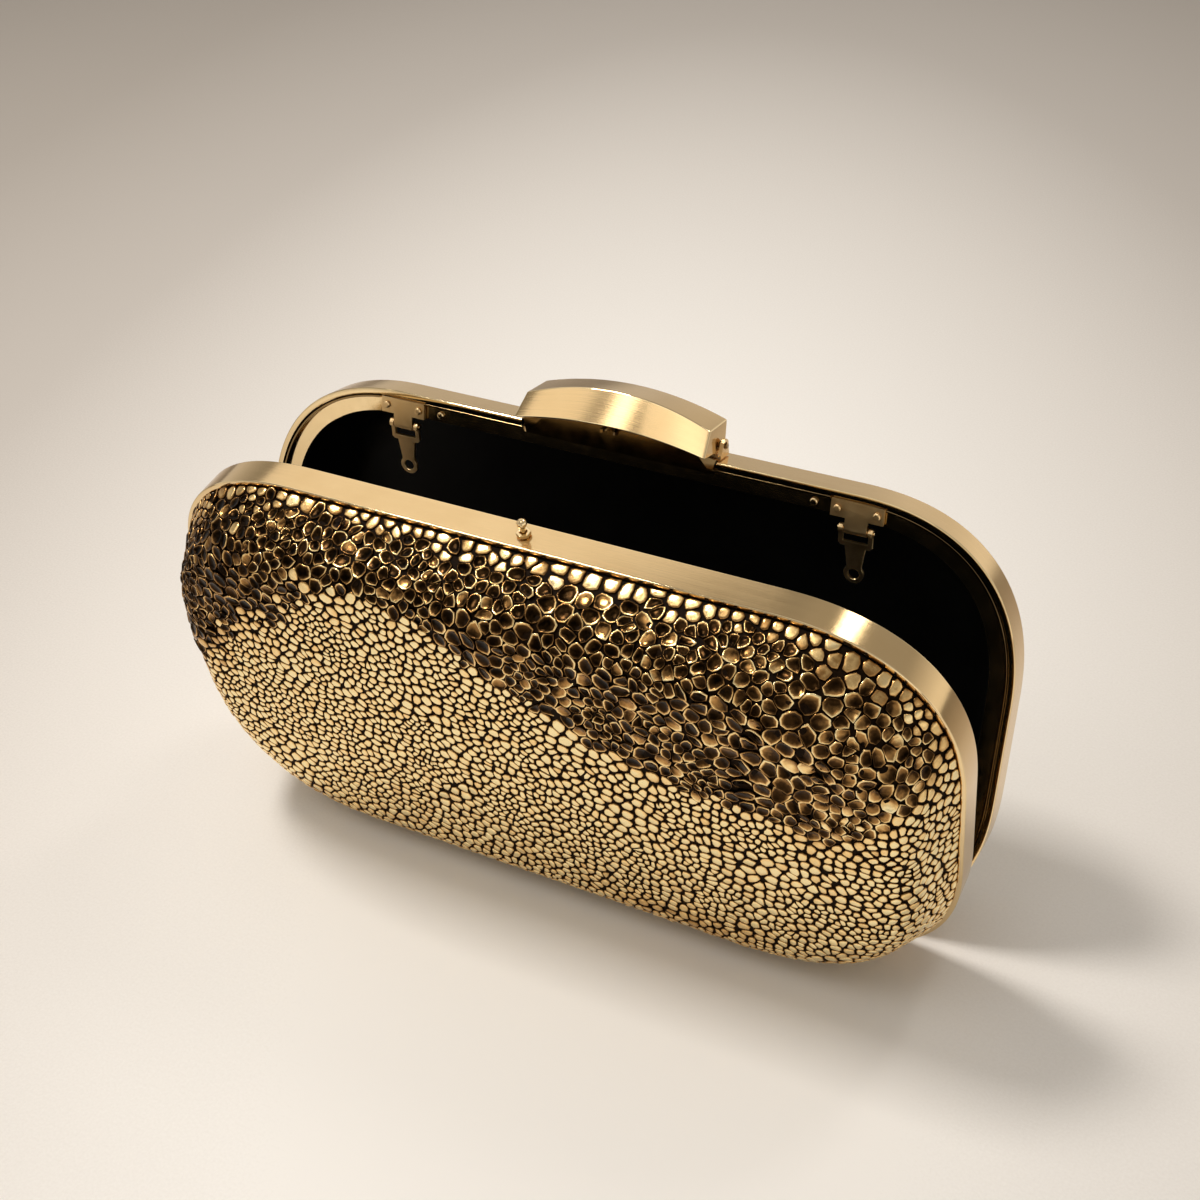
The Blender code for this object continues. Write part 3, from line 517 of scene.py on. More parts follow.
def make_lining_satin():
    """Black satin, woven fine, with a soft sheen."""
    material, tree, shader = start_material("black_satin")
    spot = place_coordinates(tree)
    weave = add_node(tree, "ShaderNodeTexWave", Vector=spot, Scale=900.0, Distortion=1.5,
                     Detail=2.0)
    folds = noise(tree, spot, 60.0, 4.0)
    tree.links.new(ramp(tree, folds, [(0.3, (0.002, 0.002, 0.002)), (0.75, (0.005, 0.005, 0.005))]),
                   shader.inputs["Base Color"])
    tree.links.new(remap(tree, folds, 0.38, 0.52), shader.inputs["Roughness"])
    shader.inputs["Sheen Weight"].default_value = 0.01
    shader.inputs["Sheen Roughness"].default_value = 0.4
    shader.inputs["Specular IOR Level"].default_value = 0.14
    soft = bump(tree, shader, folds, 0.4, 0.4 * MM)
    bump(tree, shader, weave.outputs["Fac"], 0.15, 0.03 * MM, soft)
    return material


def make_board():
    """Black board of the moulded shell, seen only at its rim."""
    material, tree, shader = start_material("shell_board")
    fibre = noise(tree, place_coordinates(tree), 700.0, 4.0)
    tree.links.new(ramp(tree, fibre, [(0.3, (0.010, 0.009, 0.008)), (0.7, (0.025, 0.022, 0.020))]),
                   shader.inputs["Base Color"])
    tree.links.new(remap(tree, fibre, 0.6, 0.8), shader.inputs["Roughness"])
    bump(tree, shader, fibre, 0.3, 0.05 * MM)
    return material


foil_leather = make_foil()
leather_gaps = make_skin()
lining_satin = make_lining_satin()
shell_board = make_board()


# Frame rings

def rounded_rect_profile(inner, outer, near, far, edge, steps=3):
    """Closed profile of a ring: (inset, depth) corners rounded in steps."""
    centres = [(outer + edge, near + edge, 180), (outer + edge, far - edge, 90),
               (inner - edge, far - edge, 0), (inner - edge, near + edge, -90)]
    profile = []
    for inset, depth, start in centres:
        for step in range(steps + 1):
            angle = math.radians(start + 90 - 90 * step / steps)
            profile.append(at_wall(inset + edge * math.cos(angle),
                                   depth + edge * math.sin(angle)))
    return profile


def make_band(side):
    word = WORDS[side]
    profile = rounded_rect_profile(band_wall, 0, band_lip, band_depth, band_edge)
    mesh = wrap_mesh(word + "_band_ring", side, profile, True)
    piece = new_object(word + "_band_ring", mesh, band_satin, edge_gold)
    for face in mesh.polygons:
        if abs(face.normal.y) > 0.2:  # the rounded edges and the two end faces are polished
            face.material_index = 1
    tools = []
    reach = hinge_length / 2 + fit_gap
    for x in (-hinge_x, hinge_x):
        tools.append(block((x - reach, -side * cut_over, -cut_over),
                           (x + reach, side * (leaf_depth + fit_gap), leaf_thickness + fit_gap)))
        tools.append(rod("X", (x, 0, 0), 2 * reach, knuckle_radius + fit_gap))
    if side == FRONT:
        tools.append(rod("Z", (0, -ball_depth, case_height), 2 * (band_wall + fit_gap),
                         ball_hole))
    else:
        back = band_lip + fit_gap / 2 + face_plate_thickness + fit_gap
        half = face_plate_length / 2 + fit_gap
        tools.append(block((-half, -cut_over, case_height - flange_outer + fit_gap / 2),
                           (half, back, case_height + cut_over)))
        for x in (-clasp_screw_x, clasp_screw_x):
            tools.append(rod("Z", (x, clasp_screw_depth, case_height), 2 * (band_wall + fit_gap),
                             clasp_screw_hole))
    cut(piece, tools)
    smooth(piece.data, 28)
    crisp(piece)
    return settle(piece, side, word + "_half", "satin_gold", word + "_band")


def make_flange(side):
    word = WORDS[side]
    tongue_inner = flange_outer + tongue_wall
    back = flange_recess + flange_plate
    edge = flange_edge
    profile = [at_wall(flange_outer, tongue_recess + edge),
               at_wall(flange_outer, back - edge), at_wall(flange_outer + edge, back),
               at_wall(flange_reach - edge, back), at_wall(flange_reach, back - edge),
               at_wall(flange_reach, flange_recess + edge),
               at_wall(flange_reach - edge, flange_recess),
               at_wall(tongue_inner + edge, flange_recess),
               at_wall(tongue_inner, flange_recess + edge),
               at_wall(tongue_inner, tongue_recess + edge),
               at_wall(tongue_inner - edge, tongue_recess),
               at_wall(flange_outer + edge, tongue_recess)]
    mesh = wrap_mesh(word + "_flange_ring", side, profile, True)
    piece = new_object(word + "_flange_ring", mesh, bright_gold, dark_gold)
    for face in mesh.polygons:
        # Painted shade: the tongue, set back behind the lip, is painted near-black gold
        if abs(face.center.y) < flange_recess - 0.1 * MM:  # the tongue is dark
            face.material_index = 1
    if side == BACK:
        depth = band_lip + fit_gap / 2 + face_plate_thickness + fit_gap
        half = face_plate_length / 2 + fit_gap
        tools = [block((-half, -cut_over, case_height - face_plate_drop - fit_gap),
                       (half, depth, case_height))]
        reach = bracket_width / 2 + fit_gap
        for x in (-tab_x, tab_x):
            tools.append(block((x - reach, -cut_over, case_height - bracket_low_drop),
                               (x + reach, bracket_notch_depth, case_height)))
        cut(piece, tools)
    smooth(piece.data, 28)
    crisp(piece)
    return settle(piece, side, word + "_half", "bright_gold", word + "_flange")


# Cover: skin with raised pebbles

pebble_seed = 41
small_pebble = 5.4 * MM * MM
large_pebble = 9.5 * MM * MM
largest_radius = 2.6 * MM
radius_spread = 0.05
pebble_gap = 0.36 * MM
pebble_height = 0.5 * MM
pebble_sides = 10
corner_sharpness = 7
neighbours = 12
sample_count = 110000
relax_rounds = 3

# Dark upper zone of cupped pebbles, its darkness painted shade and reflection: (x, height) points
# of its lower edge in millimetres, and how ragged it is
zone_line = [(-100, 50), (-67, 81), (-40, 97), (-20, 94), (15, 75), (40, 67), (80, 62), (100, 86)]
zone_rim = 4.0 * MM
zone_stray = 1.2 * MM
zone_left_stray = 2.4 * MM
zone_left_x = -52 * MM
# Painted bronze shade: where it starts at the zone's left and right ends
bronze_shade_left_x = -58 * MM
bronze_shade_right_x = 62 * MM
# Painted reflection of the floor's shadow: place and size of a darker patch low on the face
reflected_shadow_place = (37 * MM, 14 * MM)
reflected_shadow_size = (20 * MM, 6 * MM)
# How deep the painted bronze shade goes
bronze_shade_depth = 0.36
# Share of cupped pebbles whose painted dark centres are lighter
lightened_centre_share = 0.16

# Rings of a pebble: share of its outline, share of its height and tone; the tone is painted light:
# dark at the foot and in cupped hollows as painted shade, pale on domed tops and cupped rims as
# painted highlight
domed_rings = [(1.02, -0.6, 0.0), (1.0, 0.30, 0.22), (0.94, 0.72, 0.60), (0.82, 0.93, 0.88),
               (0.50, 1.03, 1.0), (0.0, 1.06, 1.0)]
cupped_rings = [(1.12, -0.6, 0.0), (1.08, 0.50, 0.22), (1.03, 1.0, 0.94), (0.94, 0.98, 0.72),
                (0.82, 0.64, 0.20), (0.54, 0.34, 0.05), (0.0, 0.26, 0.0)]

# Kinds of pebble: rings, how much they lean, how far their tops drift, how much painted shade
# darkens one side
DOMED = (domed_rings, 0.04, 0.14 * MM, 0.1)
CUPPED = (cupped_rings, 0.13, 0.42 * MM, 0.72)


def cover_triangles():
    """Triangles of the cover's outside for the back half, with rim and face sampled finely."""
    profile = pan_surface(0, cover_rim, face_steps=10)
    rings = np.array([[(x, depth, height) for x, height in outline(inset, radius)]
                      for inset, radius, depth in profile])
    following = np.roll(rings, -1, 1)
    a, b = rings[:-1], following[:-1]
    c, d = following[1:], rings[1:]
    first = np.stack([a, b, c], -2).reshape(-1, 3, 3)
    second = np.stack([a, c, d], -2).reshape(-1, 3, 3)
    triangles = np.concatenate([first, second])
    area = np.linalg.norm(np.cross(triangles[:, 1] - triangles[:, 0],
                                   triangles[:, 2] - triangles[:, 0]), axis=1) / 2
    keep = area > 1e-12
    return triangles[keep], area[keep]


def point_tree(points):
    tree = KDTree(len(points))
    for index, point in enumerate(points):
        tree.insert(point, index)
    tree.balance()
    return tree


def zone_edge(x):
    """Height on the front face above which the pebbles are cupped and painted dark."""
    places, heights = np.array(zone_line).T * MM
    return np.interp(x, places, heights)


def step_up(value, width):
    """Soft step from 0 to 1 round a value of 0."""
    return 1 / (1 + np.exp(-value / width))


def scatter_pebbles(generator):
    """Pebble centres, evened out over the cover, and their normals."""
    triangles, area = cover_triangles()
    picks = generator.choice(len(triangles), sample_count, p=area / area.sum())
    u, v = generator.random((2, sample_count))
    over = u + v > 1
    u[over], v[over] = 1 - u[over], 1 - v[over]
    corner = triangles[picks]
    points = (corner[:, 0] + u[:, None] * (corner[:, 1] - corner[:, 0])
              + v[:, None] * (corner[:, 2] - corner[:, 0]))
    share = step_up(points[:, 2] - zone_edge(points[:, 0]), 2 * MM)
    density = 1 / (small_pebble + share * (large_pebble - small_pebble))
    count = int(area.sum() * density.mean())
    seeds = points[generator.choice(sample_count, count, replace=False,
                                    p=density / density.sum())]
    listed = points.tolist()
    surface = BVHTree.FromPolygons(triangles.reshape(-1, 3).tolist(),
                                   [(3 * i, 3 * i + 1, 3 * i + 2) for i in range(len(triangles))])
    for _ in range(relax_rounds):
        find = point_tree(seeds.tolist()).find
        owner = np.fromiter((find(point)[1] for point in listed), int, sample_count)
        pull = density ** 2
        held = np.bincount(owner, pull, count)
        middle = np.stack([np.bincount(owner, points[:, axis] * pull, count)
                           for axis in range(3)], 1)
        seeds = np.where(held[:, None] > 0,
                         middle / np.maximum(held, pull.min())[:, None], seeds)
    normals = np.zeros_like(seeds)
    for index, seed in enumerate(seeds):
        place, normal, _, _ = surface.find_nearest(seed)
        if normal.dot(Vector(seed) - Vector((seed[0] * 0.5, 0, case_height / 2))) < 0:
            normal = -normal
        seeds[index] = place
        normals[index] = normal
    return seeds, normals


def pebble_cells(generator, seeds, normals):
    """Outline of each pebble as (sides) offsets in its tangent plane."""
    count = len(seeds)
    tree = point_tree(seeds)
    near = np.array([[found[1] for found in tree.find_n(seed, neighbours + 1)][1:]
                     for seed in seeds])
    up = np.zeros_like(normals)
    up[:, 2] = 1.0
    first = np.cross(up, normals)
    first[np.linalg.norm(first, axis=1) < 1e-3] = (1, 0, 0)
    first /= np.linalg.norm(first, axis=1)[:, None]
    second = np.cross(normals, first)
    apart = seeds[near] - seeds[:, None]
    flat = np.stack([np.einsum("nmk,nk->nm", apart, first),
                     np.einsum("nmk,nk->nm", apart, second)], -1)
    distance = np.linalg.norm(flat, axis=-1)
    toward = flat / distance[..., None]
    limit = np.maximum(distance / 2 - pebble_gap / 2, 0.25 * MM)
    # The rim holds the pebbles back too
    rim_room = (seeds[:, 1] - cover_rim) - 0.1 * MM
    rim_way = np.stack([-first[:, 1], -second[:, 1]], -1)
    length = np.linalg.norm(rim_way, axis=-1)
    rim_way /= np.maximum(length, 1e-6)[:, None]
    rim_limit = np.maximum(rim_room / np.maximum(length, 1e-6), 0.3 * MM)
    toward = np.concatenate([toward, rim_way[:, None]], 1)
    limit = np.concatenate([limit, rim_limit[:, None]], 1)
    start = generator.random(count) * 2 * math.pi
    angle = start[:, None] + np.arange(pebble_sides) * 2 * math.pi / pebble_sides
    ray = np.stack([np.cos(angle), np.sin(angle)], -1)
    reach = np.einsum("nsk,nmk->nsm", ray, toward) / limit[:, None]
    radius = (np.maximum(reach, 0) ** corner_sharpness).sum(-1) ** (-1 / corner_sharpness)
    radius *= 1 + generator.normal(0, radius_spread, radius.shape)
    radius = np.minimum(radius, largest_radius)
    return first, second, ray * radius[..., None]


def pebble_mesh(name, side, kind, seeds, normals, first, second, away, drift, lean, heights,
                tone, centre_lightening):
    """Raised pebbles of a kind, as one mesh with their tone and painted shade; the last argument
    lightens the painted shade in their hollows.
    """
    rings, lean_share, drift_reach, shaded = kind
    lean, drift = lean * lean_share, drift * drift_reach
    count, sides = len(seeds), pebble_sides
    last = len(rings) - 1
    points, tones = [], []
    facing = (away * drift[:, None]).sum(-1)
    facing /= np.linalg.norm(away, axis=-1) * np.linalg.norm(drift, axis=-1)[:, None] + 1e-9
    for ring, (shrink, rise, level) in enumerate(rings):
        flat = away * shrink + drift[:, None] * np.clip(2 * (1 - shrink), 0, 1)
        raised = np.repeat((heights * rise)[:, None], sides, 1)
        if ring > 0:
            raised = raised + (flat * lean[:, None]).sum(-1) * (1 if ring > 1 else 0.7)
        point = (seeds[:, None] + flat[..., :1] * first[:, None] + flat[..., 1:] * second[:, None]
                 + (raised[..., None] - skin_drop) * normals[:, None])
        level = (level + centre_lightening * (1 - level) * (ring > 1)) * tone
        # Painted shade: one side of each pebble is darker, by the kind's shaded share
        level = level[:, None] * (1 - shaded * (0.5 + 0.5 * facing))
        points.append(point if ring < last else point[:, :1])
        tones.append(level if ring < last else level[:, :1])
    points, tones = np.concatenate(points, 1), np.concatenate(tones, 1)
    per = last * sides + 1
    step = np.arange(sides)
    following = (step + 1) % sides
    quads = np.concatenate([np.stack([ring * sides + step, ring * sides + following,
                                      (ring + 1) * sides + following,
                                      (ring + 1) * sides + step], 1)
                            for ring in range(last - 1)])
    top = (last - 1) * sides
    caps = np.stack([top + step, top + following, np.full(sides, per - 1)], 1)
    turn = 1 if side == BACK else -1
    base = np.arange(count)[:, None, None] * per
    quads = (quads[None, :, ::turn] + base).reshape(-1, 4)
    caps = (caps[None, :, ::turn] + base).reshape(-1, 3)
    points = points.reshape(-1, 3)
    if side == FRONT:
        points = points * np.array([1, -1, 1])
    mesh = bpy.data.meshes.new(name)
    mesh.from_pydata(points.tolist(), [], quads.tolist() + caps.tolist())
    mesh.shade_smooth()
    layer = mesh.attributes.new("tone", "FLOAT", "POINT")
    layer.data.foreach_set("value", tones.ravel().astype(np.float32))
    return mesh


def make_covers():
    """The skins and the pebbles on them, placed for the back half and mirrored to the front."""
    generator = np.random.default_rng(pebble_seed)
    seeds, normals = scatter_pebbles(generator)
    first, second, offsets = pebble_cells(generator, seeds, normals)
    count = len(seeds)
    x, depth, height = seeds.T
    ragged = zone_stray + zone_left_stray * step_up(zone_left_x - x, 5 * MM)
    stray = generator.normal(0, 1, count) * ragged
    above = height - zone_edge(x) + stray
    past_rim = depth - cover_rim - zone_rim + stray
    zone = (above > 0) & (past_rim > 0)
    right = step_up(x - bronze_shade_right_x + 4 * stray, 8 * MM)
    tilted = generator.normal(0, 1, (count, 2))
    drifted = np.clip(generator.normal(0, 1, (count, 2)), -1.5, 1.5)
    tone = np.clip(generator.normal(0.97, 0.07, count), 0.7, 1.1)
    # Painted shade: toward the zone's ends and just under the rim the pebbles are painted a darker
    # bronze
    left_end = step_up(above + 7 * MM, 2 * MM) * step_up(bronze_shade_left_x - x, 5 * MM)
    upper_rim_shade = step_up(-past_rim, 0.5 * MM) * step_up(above, 3 * MM)
    right_end = step_up(above + 4 * MM, 3 * MM) * right * step_up(past_rim, MM)
    # Painted reflection of the floor's shadow: a patch low on the face is painted darker bronze
    reflected_shadow_patch = np.exp(-((x - reflected_shadow_place[0]) / reflected_shadow_size[0]) ** 2
                       - ((height - reflected_shadow_place[1]) / reflected_shadow_size[1]) ** 2)
    bronze_shade = np.clip(left_end + 1.1 * upper_rim_shade + right_end * ~zone + 0.8 * reflected_shadow_patch, 0, 1)
    bronze_shaded_tone = tone * (1 - bronze_shade_depth * bronze_shade * generator.uniform(0.4, 1.2, count))
    # Painted shade is lighter in some hollows of the dark zone, most of all at its right end
    centre_lightening = 0.34 * right * zone * generator.uniform(0.3, 1.3, count)
    centre_lightening += 0.4 * zone * (generator.random(count) < lightened_centre_share)
    lift = pebble_height * generator.uniform(0.85, 1.1, count)
    inner = pan_surface(cover_thickness, cover_rim)
    outer = pan_surface(skin_drop, cover_rim)
    on_face = depth > half_depth - 2 * MM
    leftward = x < 0
    for side in (FRONT, BACK):
        word = WORDS[side]
        body = word + "_half"
        skin = new_object(word + "_cover_skin",
                          wrap_mesh(word + "_cover_skin", side, outer[::-1] + inner, False),
                          leather_gaps)
        smooth(skin.data, 40)
        settle(skin, side, body, "foil_leather", word + "_cover")
        # Only the front has the painted dark zone and the painted bronze shade
        domed = ~zone if side == FRONT else np.ones_like(zone)
        shade = bronze_shaded_tone if side == FRONT else tone
        parts = [("left_face", DOMED, domed & on_face & leftward),
                 ("right_face", DOMED, domed & on_face & ~leftward),
                 ("shoulder", DOMED, domed & ~on_face), ("cupped", CUPPED, ~domed)]
        for part, kind, picked in parts:
            if not picked.any():
                continue
            name = f"{word}_cover_{part}_pebbles"
            mesh = pebble_mesh(name, side, kind, *(values[picked] for values in (
                seeds, normals, first, second, offsets, drifted, tilted, lift, shade, centre_lightening)))
            settle(new_object(name, mesh, foil_leather), side, body, "foil_leather")


def make_lining(side):
    word = WORDS[side]
    front = pan_surface(lining_offset, lining_rim)
    rear = pan_surface(lining_offset + lining_thickness, lining_rim)
    name = word + "_lining_cloth"
    piece = new_object(name, wrap_mesh(name, side, front[::-1] + rear, False), lining_satin)
    smooth(piece.data, 60)
    settle(piece, side, word + "_half", "black_satin", word + "_lining")
    return piece


# Lift bar

def bar_section(share):
    """Corners of the bar's section, a share of the way from its middle to its end."""
    return [(depth, case_height + lift + arch * (1 - share ** 2))
            for depth, lift, arch in (bar_foot, bar_ridge, bar_crest, bar_heel)]


def moved_line(start, end, distance):
    """Line through two points, moved to its right, as a point and a direction."""
    along = (Vector(end) - Vector(start)).normalized()
    return Vector(start) + Vector((along.y, -along.x)) * distance, along


def crossing(first, second):
    """Point where two lines cross."""
    (start, along), (other, across) = first, second
    spread = along.x * across.y - along.y * across.x
    gap = other - start
    return start + along * ((gap.x * across.y - gap.y * across.x) / spread)


def bar_hollow(share):
    """Inside of the bar's section, open below."""
    foot, ridge, crest, heel = bar_section(share)
    front = moved_line(foot, ridge, bar_wall)
    roof = moved_line(ridge, crest, bar_wall)
    back = moved_line(crest, heel, bar_wall)
    floor = (Vector((0, case_height + bar_heel[1] - cut_over)), Vector((1, 0)))
    return [crossing(front, floor), crossing(front, roof), crossing(roof, back),
            crossing(back, floor)]


def bar_rings(section, half_length):
    rings = []
    for step in range(bar_steps + 1):
        share = 2 * step / bar_steps - 1
        foot, ridge, crest, heel = section(share)
        low_x, high_x = share * half_length, share * (half_length - bar_end_slant)
        rings.append([(low_x, *foot), (high_x, *ridge), (high_x, *crest), (low_x, *heel)])
    return rings


def bar_solid(name, section, half_length, *materials):
    """Loft along the bar, with UVs along it and round its section."""
    rings = bar_rings(section, half_length)
    points = [point for ring in rings for point in ring]
    faces, uvs = [], []
    for row in range(bar_steps):
        for corner in range(4):
            following = (corner + 1) % 4
            faces.append((row * 4 + corner, row * 4 + following, (row + 1) * 4 + following,
                          (row + 1) * 4 + corner))
            near, far = rings[row][0][0], rings[row + 1][0][0]
            low, high = bar_section_uv[corner:corner + 2]
            uvs += [(near, low), (near, high), (far, high), (far, low)]
    for row in (0, bar_steps):
        faces.append(tuple(row * 4 + corner for corner in range(4)))
        uvs += [(point[1], point[2]) for point in rings[row]]
    mesh = bpy.data.meshes.new(name)
    mesh.from_pydata(points, [], faces)
    layer = mesh.uv_layers.new(name="along")
    layer.data.foreach_set("uv", np.array(uvs, np.float32).ravel())
    work = bmesh.new()
    work.from_mesh(mesh)
    bmesh.ops.recalc_face_normals(work, faces=work.faces)
    work.to_mesh(mesh)
    work.free()
    return new_object(name, mesh, *materials)


def make_bar():
    outer = bar_solid("clasp_bar_shell", bar_section, bar_length / 2, bar_satin, edge_gold)
    bevel = outer.modifiers.new("edges", "BEVEL")
    bevel.width = bar_bevel
    bevel.segments = 3
    bevel.limit_method = "ANGLE"
    bevel.angle_limit = math.radians(40)
    bevel.material = 1
    bevel.harden_normals = False
    hollow = bar_solid("cutter", bar_hollow, bar_length / 2 - bar_wall)
    bore = rod("X", (0, clasp_pin_depth, case_height + clasp_pin_height),
               bar_length + 2 * cut_over, clasp_pin_radius + fit_gap)
    # The CAD bar lacks this relief; without it the stud's ball cuts the bar's lower edge when shut
    ball_way = rod("Y", (0, -ball_depth, case_height + ball_height), ball_way_length,
                   ball_radius + ball_relief)
    cut(outer, [hollow, bore, ball_way])
    smooth(outer.data, 25)
    crisp(outer)
    return settle(outer, BACK, "clasp_bar", "satin_gold", "clasp_bar")


def make_spring():
    """Torsion spring on the pin, its leg reaching forward from the coil and its hook down into the
    base.
    """
    axis_height = case_height + clasp_pin_height
    points = [(spring_leg_x, spring_leg_end, axis_height + spring_coil_radius)]
    for step in range(int(spring_turns * spring_points_per_turn) + 1):
        turned = step / spring_points_per_turn
        angle = 2 * math.pi * turned
        points.append((spring_leg_x + spring_pitch * turned,
                       clasp_pin_depth + spring_coil_radius * math.sin(angle),
                       axis_height + spring_coil_radius * math.cos(angle)))
    hook_x = points[-1][0]
    points += [(hook_x, spring_hook_depth, axis_height - spring_coil_radius),
               (hook_x, spring_hook_depth, case_height + spring_hook_height)]
    curve = bpy.data.curves.new("spring_route", "CURVE")
    curve.dimensions = "3D"
    curve.bevel_depth = spring_wire_radius
    curve.bevel_resolution = 2
    curve.use_fill_caps = True
    spline = curve.splines.new("POLY")
    spline.points.add(len(points) - 1)
    for target, point in zip(spline.points, points):
        target.co = (*point, 1)
    route = bpy.data.objects.new("spring_route", curve)
    bpy.context.scene.collection.objects.link(route)
    graph = bpy.context.evaluated_depsgraph_get()
    graph.update()
    mesh = bpy.data.meshes.new_from_object(route.evaluated_get(graph))
    bpy.data.objects.remove(route, do_unlink=True)
    mesh.materials.clear()
    mesh.transform(half_matrix(BACK))
    piece = new_object("clasp_spring_wire", mesh, dark_gold)
    smooth(mesh, 60)
    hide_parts("clasp_spring")
    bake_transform(piece)
    return piece


for half in (FRONT, BACK):
    make_band(half)
    make_flange(half)
    make_lining(half)
make_covers()
make_bar()
make_spring()

# CAD nodes that keep their shape
finishes = {"satin_gold": plain_satin, "bright_gold": bright_gold, "dark_gold": dark_gold,
            "spring_steel": spring_steel, "foil_leather": foil_leather,
            "shell_board": shell_board, "black_satin": lining_satin}
node_weld = 0.005 * MM
node_bevel = 0.08 * MM


def dress_node(node):
    """Better material and softened edges for a CAD node that stays."""
    name = node.data.materials[0].name.split(".")[0] if node.data.materials else "bright_gold"
    finish = finishes.get(name, bright_gold)
    # Tabs and brackets get the lighter satin copy, painted light
    if any(word in node.name for word in ("chain_tab", "tab_bracket", "bracket_")):
        finish = pale_satin
    if node.name in ("clasp_pin", "clasp_catch"):
        finish = dark_gold
    for index in range(len(node.data.materials)):
        node.data.materials[index] = finish
    weld = node.modifiers.new("weld", "WELD")
    weld.merge_threshold = node_weld
    bevel = node.modifiers.new("edges", "BEVEL")
    bevel.width = node_bevel
    bevel.segments = 2
    bevel.limit_method = "ANGLE"
    bevel.angle_limit = math.radians(35)
    bevel.use_clamp_overlap = True


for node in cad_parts.values():
    if not node.hide_render:
        dress_node(node)


# Stage

floor_reach = 6.0
# Place, turn and size of the painted pool of light on the floor
light_pool_place = (0.01, 0.0, 0.0)
light_pool_turn = (0.0, 0.0, math.radians(21))
light_pool_size = (0.64, 1.7, 1.0)
toward_viewer = (0.485, -0.875, 0.0)
sunk_reach = 0.05
sunk_limit = 0.15


def make_floor():
    """Pale paper with painted light: lighter in a painted pool of light round the clutch and
    painted lighter toward the viewer.
    """
    material, tree, shader = start_material("floor")
    spot = place_coordinates(tree)
    placed = add_node(tree, "ShaderNodeMapping", Vector=spot)
    placed.vector_type = "TEXTURE"
    placed.inputs["Location"].default_value = light_pool_place
    placed.inputs["Rotation"].default_value = light_pool_turn
    placed.inputs["Scale"].default_value = light_pool_size
    light_pool = add_node(tree, "ShaderNodeTexGradient", Vector=placed.outputs[0])
    light_pool.gradient_type = "SPHERICAL"
    paper = noise(tree, spot, 1500.0, 3.0)
    toward = tree.nodes.new("ShaderNodeVectorMath")
    toward.operation = "DOT_PRODUCT"
    tree.links.new(spot, toward.inputs[0])
    toward.inputs[1].default_value = toward_viewer
    # Painted light: the floor is also painted lighter toward the viewer
    near = add_node(tree, "ShaderNodeMath",
                    i0=remap(tree, toward.outputs["Value"], 0.0, 0.66, -0.08, 0.09),
                    i1=remap(tree, toward.outputs["Value"], 0.0, 0.34, 0.12, 0.2))
    either = add_node(tree, "ShaderNodeMath", i0=light_pool.outputs["Fac"], i1=near.outputs[0])
    either.operation = "MAXIMUM"
    lit = add_node(tree, "ShaderNodeMath", i0=either.outputs[0],
                   i1=remap(tree, paper, -0.02, 0.02, 0.3, 0.7))
    colour = ramp(tree, lit.outputs[0], [(0.0, (0.46, 0.41, 0.36)), (0.35, (0.48, 0.43, 0.38)),
                                         (0.58, (0.58, 0.53, 0.48)), (0.72, (0.79, 0.74, 0.685)),
                                         (0.88, (0.98, 0.94, 0.89))])
    tree.links.new(colour, shader.inputs["Base Color"])
    shader.inputs["Roughness"].default_value = 0.7
    shader.inputs["Specular IOR Level"].default_value = 0.2
    bump(tree, shader, paper, 0.1, 0.05 * MM)
    # Opened wide, the front half clips through the floor, which turns clear over what is below it:
    # the lining shows instead of the floor, but the clipping is only hidden, not mended
    below = tree.nodes.new("ShaderNodeAmbientOcclusion")
    below.inside = True
    below.samples = 16
    below.inputs["Distance"].default_value = sunk_reach
    whole = add_node(tree, "ShaderNodeMath", i0=below.outputs["AO"], i1=sunk_limit)
    whole.operation = "GREATER_THAN"
    tree.links.new(whole.outputs[0], shader.inputs["Alpha"])
    mesh = bpy.data.meshes.new("floor")
    corners = [(-floor_reach, -floor_reach, 0), (floor_reach, -floor_reach, 0),
               (floor_reach, floor_reach, 0), (-floor_reach, floor_reach, 0)]
    mesh.from_pydata(corners, [], [(0, 1, 2, 3)])
    new_object("floor", mesh, material)


make_floor()


lamp_colour = (1.0, 0.965, 0.92)
lamp_target = Vector((0, 0, 0.05))


def lamp(name, way, distance, size, radiance):
    """Soft box seen from the clutch along a direction, with its radiance when white is 1."""
    data = bpy.data.lights.new(name, "AREA")
    data.shape = "RECTANGLE"
    data.size, data.size_y = size
    data.energy = radiance * math.pi * size[0] * size[1]
    data.color = lamp_colour
    item = bpy.data.objects.new(name, data)
    bpy.context.scene.collection.objects.link(item)
    place = lamp_target + Vector(way).normalized() * distance
    item.location = place
    item.rotation_euler = (lamp_target - place).to_track_quat("-Z", "Y").to_euler()


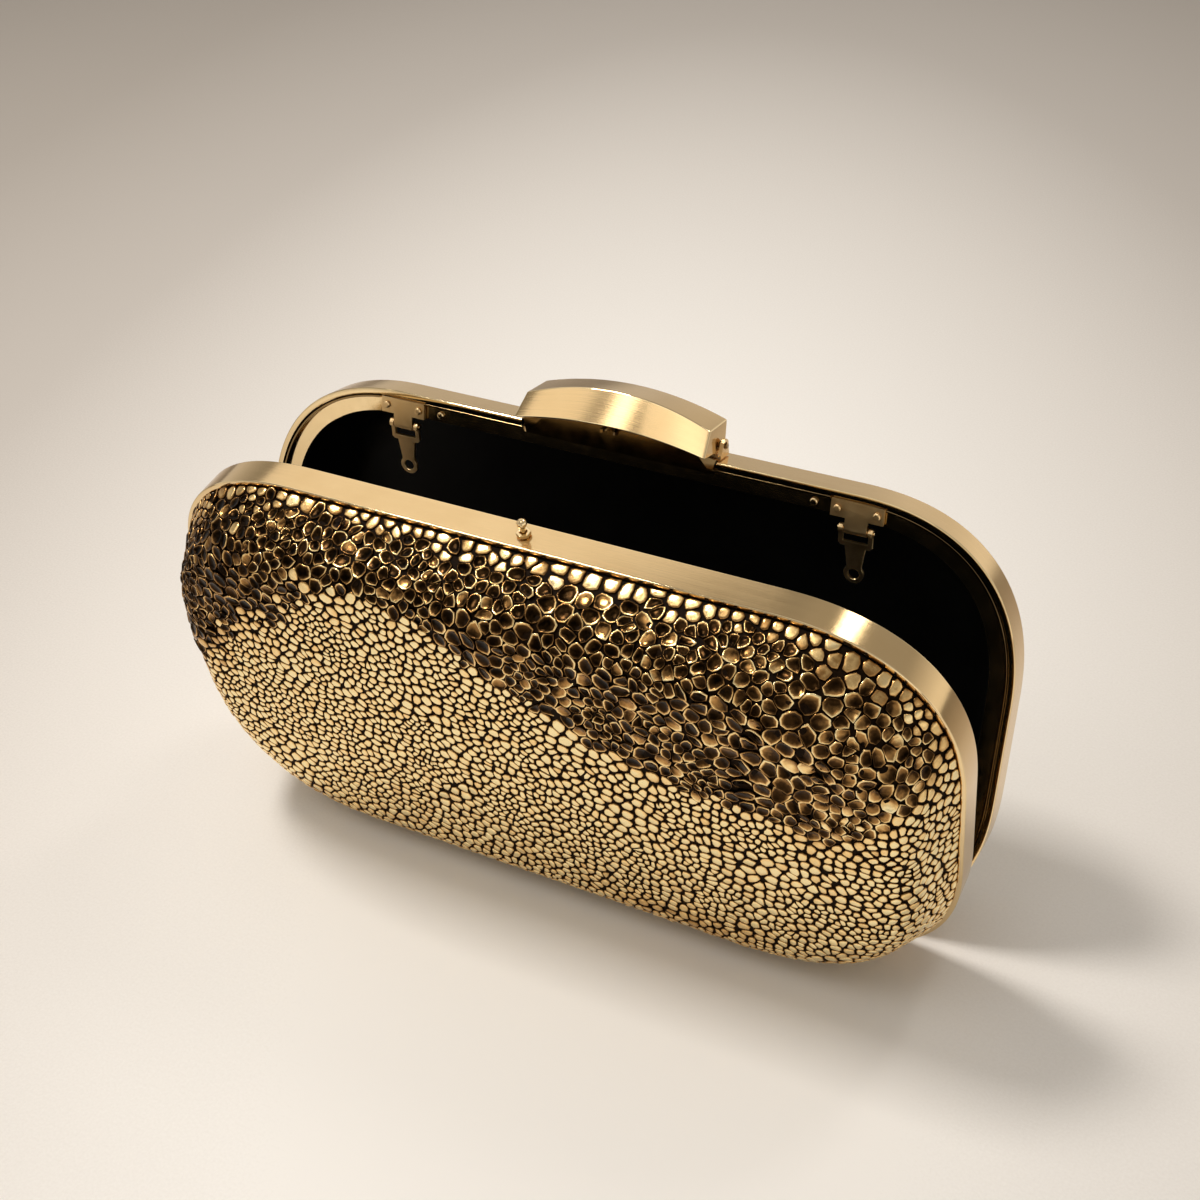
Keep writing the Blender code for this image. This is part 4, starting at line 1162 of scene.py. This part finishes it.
lamp("key", (-0.42, -0.045, 0.905), 1.1, (0.23, 0.23), 36.0)
lamp("overhead", (-0.05, -0.12, 1.0), 1.3, (1.0, 1.0), 0.35)
lamp("left", (-0.68, -0.36, 0.66), 1.1, (0.43, 0.5), 0.85)
lamp("streak", (-0.39, -0.54, 0.74), 1.1, (0.07, 0.5), 3.4)
lamp("right", (-0.11, -0.43, 0.89), 1.1, (0.33, 0.5), 1.0)
lamp("top", (-0.54, 0.46, 0.71), 1.2, (0.78, 0.5), 0.75)
lamp("back", (0.22, 0.50, 0.84), 1.2, (0.16, 0.28), 7.0)

# The room: pale at the horizon and darker overhead where it is seen, even where it only lights
room_light = 0.37
world = bpy.data.worlds.new("studio")
bpy.context.scene.world = world
world.use_nodes = True
world_tree = world.node_tree
background = world_tree.nodes["Background"]
background.inputs["Color"].default_value = (0.90, 0.86, 0.80, 1.0)
path = world_tree.nodes.new("ShaderNodeLightPath")
seen = add_node(world_tree, "ShaderNodeMath", i0=path.outputs["Is Camera Ray"],
                i1=path.outputs["Is Glossy Ray"])
seen = add_node(world_tree, "ShaderNodeMath", i0=seen.outputs[0],
                i1=path.outputs["Is Transmission Ray"])
direction = world_tree.nodes.new("ShaderNodeTexCoord").outputs["Generated"]
way = add_node(world_tree, "ShaderNodeSeparateXYZ", Vector=direction)
overhead = remap(world_tree, way.outputs["Z"], 0.72, 0.28, 0.1, 0.5)
rightward = remap(world_tree, way.outputs["X"], 1.0, 1.5, -0.3, -0.1)
shown = add_node(world_tree, "ShaderNodeMath", i0=overhead, i1=rightward)
shown.operation = "MULTIPLY"
strength = add_node(world_tree, "ShaderNodeMix", Factor=seen.outputs[0], A=room_light,
                    B=shown.outputs[0])
world_tree.links.new(strength.outputs[0], background.inputs["Strength"])

# Camera, solved from the outlines of both frame halves in the photo
camera_place = (0.16094, -0.28174, 0.30089)
camera_data = bpy.data.cameras.new("camera")
camera_data.sensor_width = 36.0
camera_data.lens = 50.45
camera_data.clip_start = 0.01
camera = bpy.data.objects.new("camera", camera_data)
bpy.context.scene.collection.objects.link(camera)
forward = Vector((-0.3974, 0.7168, -0.5730)).normalized()
right = Vector((0.8861, 0.4622, -0.0364))
right = (right - right.dot(forward) * forward).normalized()
camera.matrix_world = (Matrix.Translation(camera_place)
                       @ Matrix((right, right.cross(forward), -forward)).transposed().to_4x4())
bpy.context.scene.camera = camera
bpy.context.scene.view_settings.view_transform = "Standard"
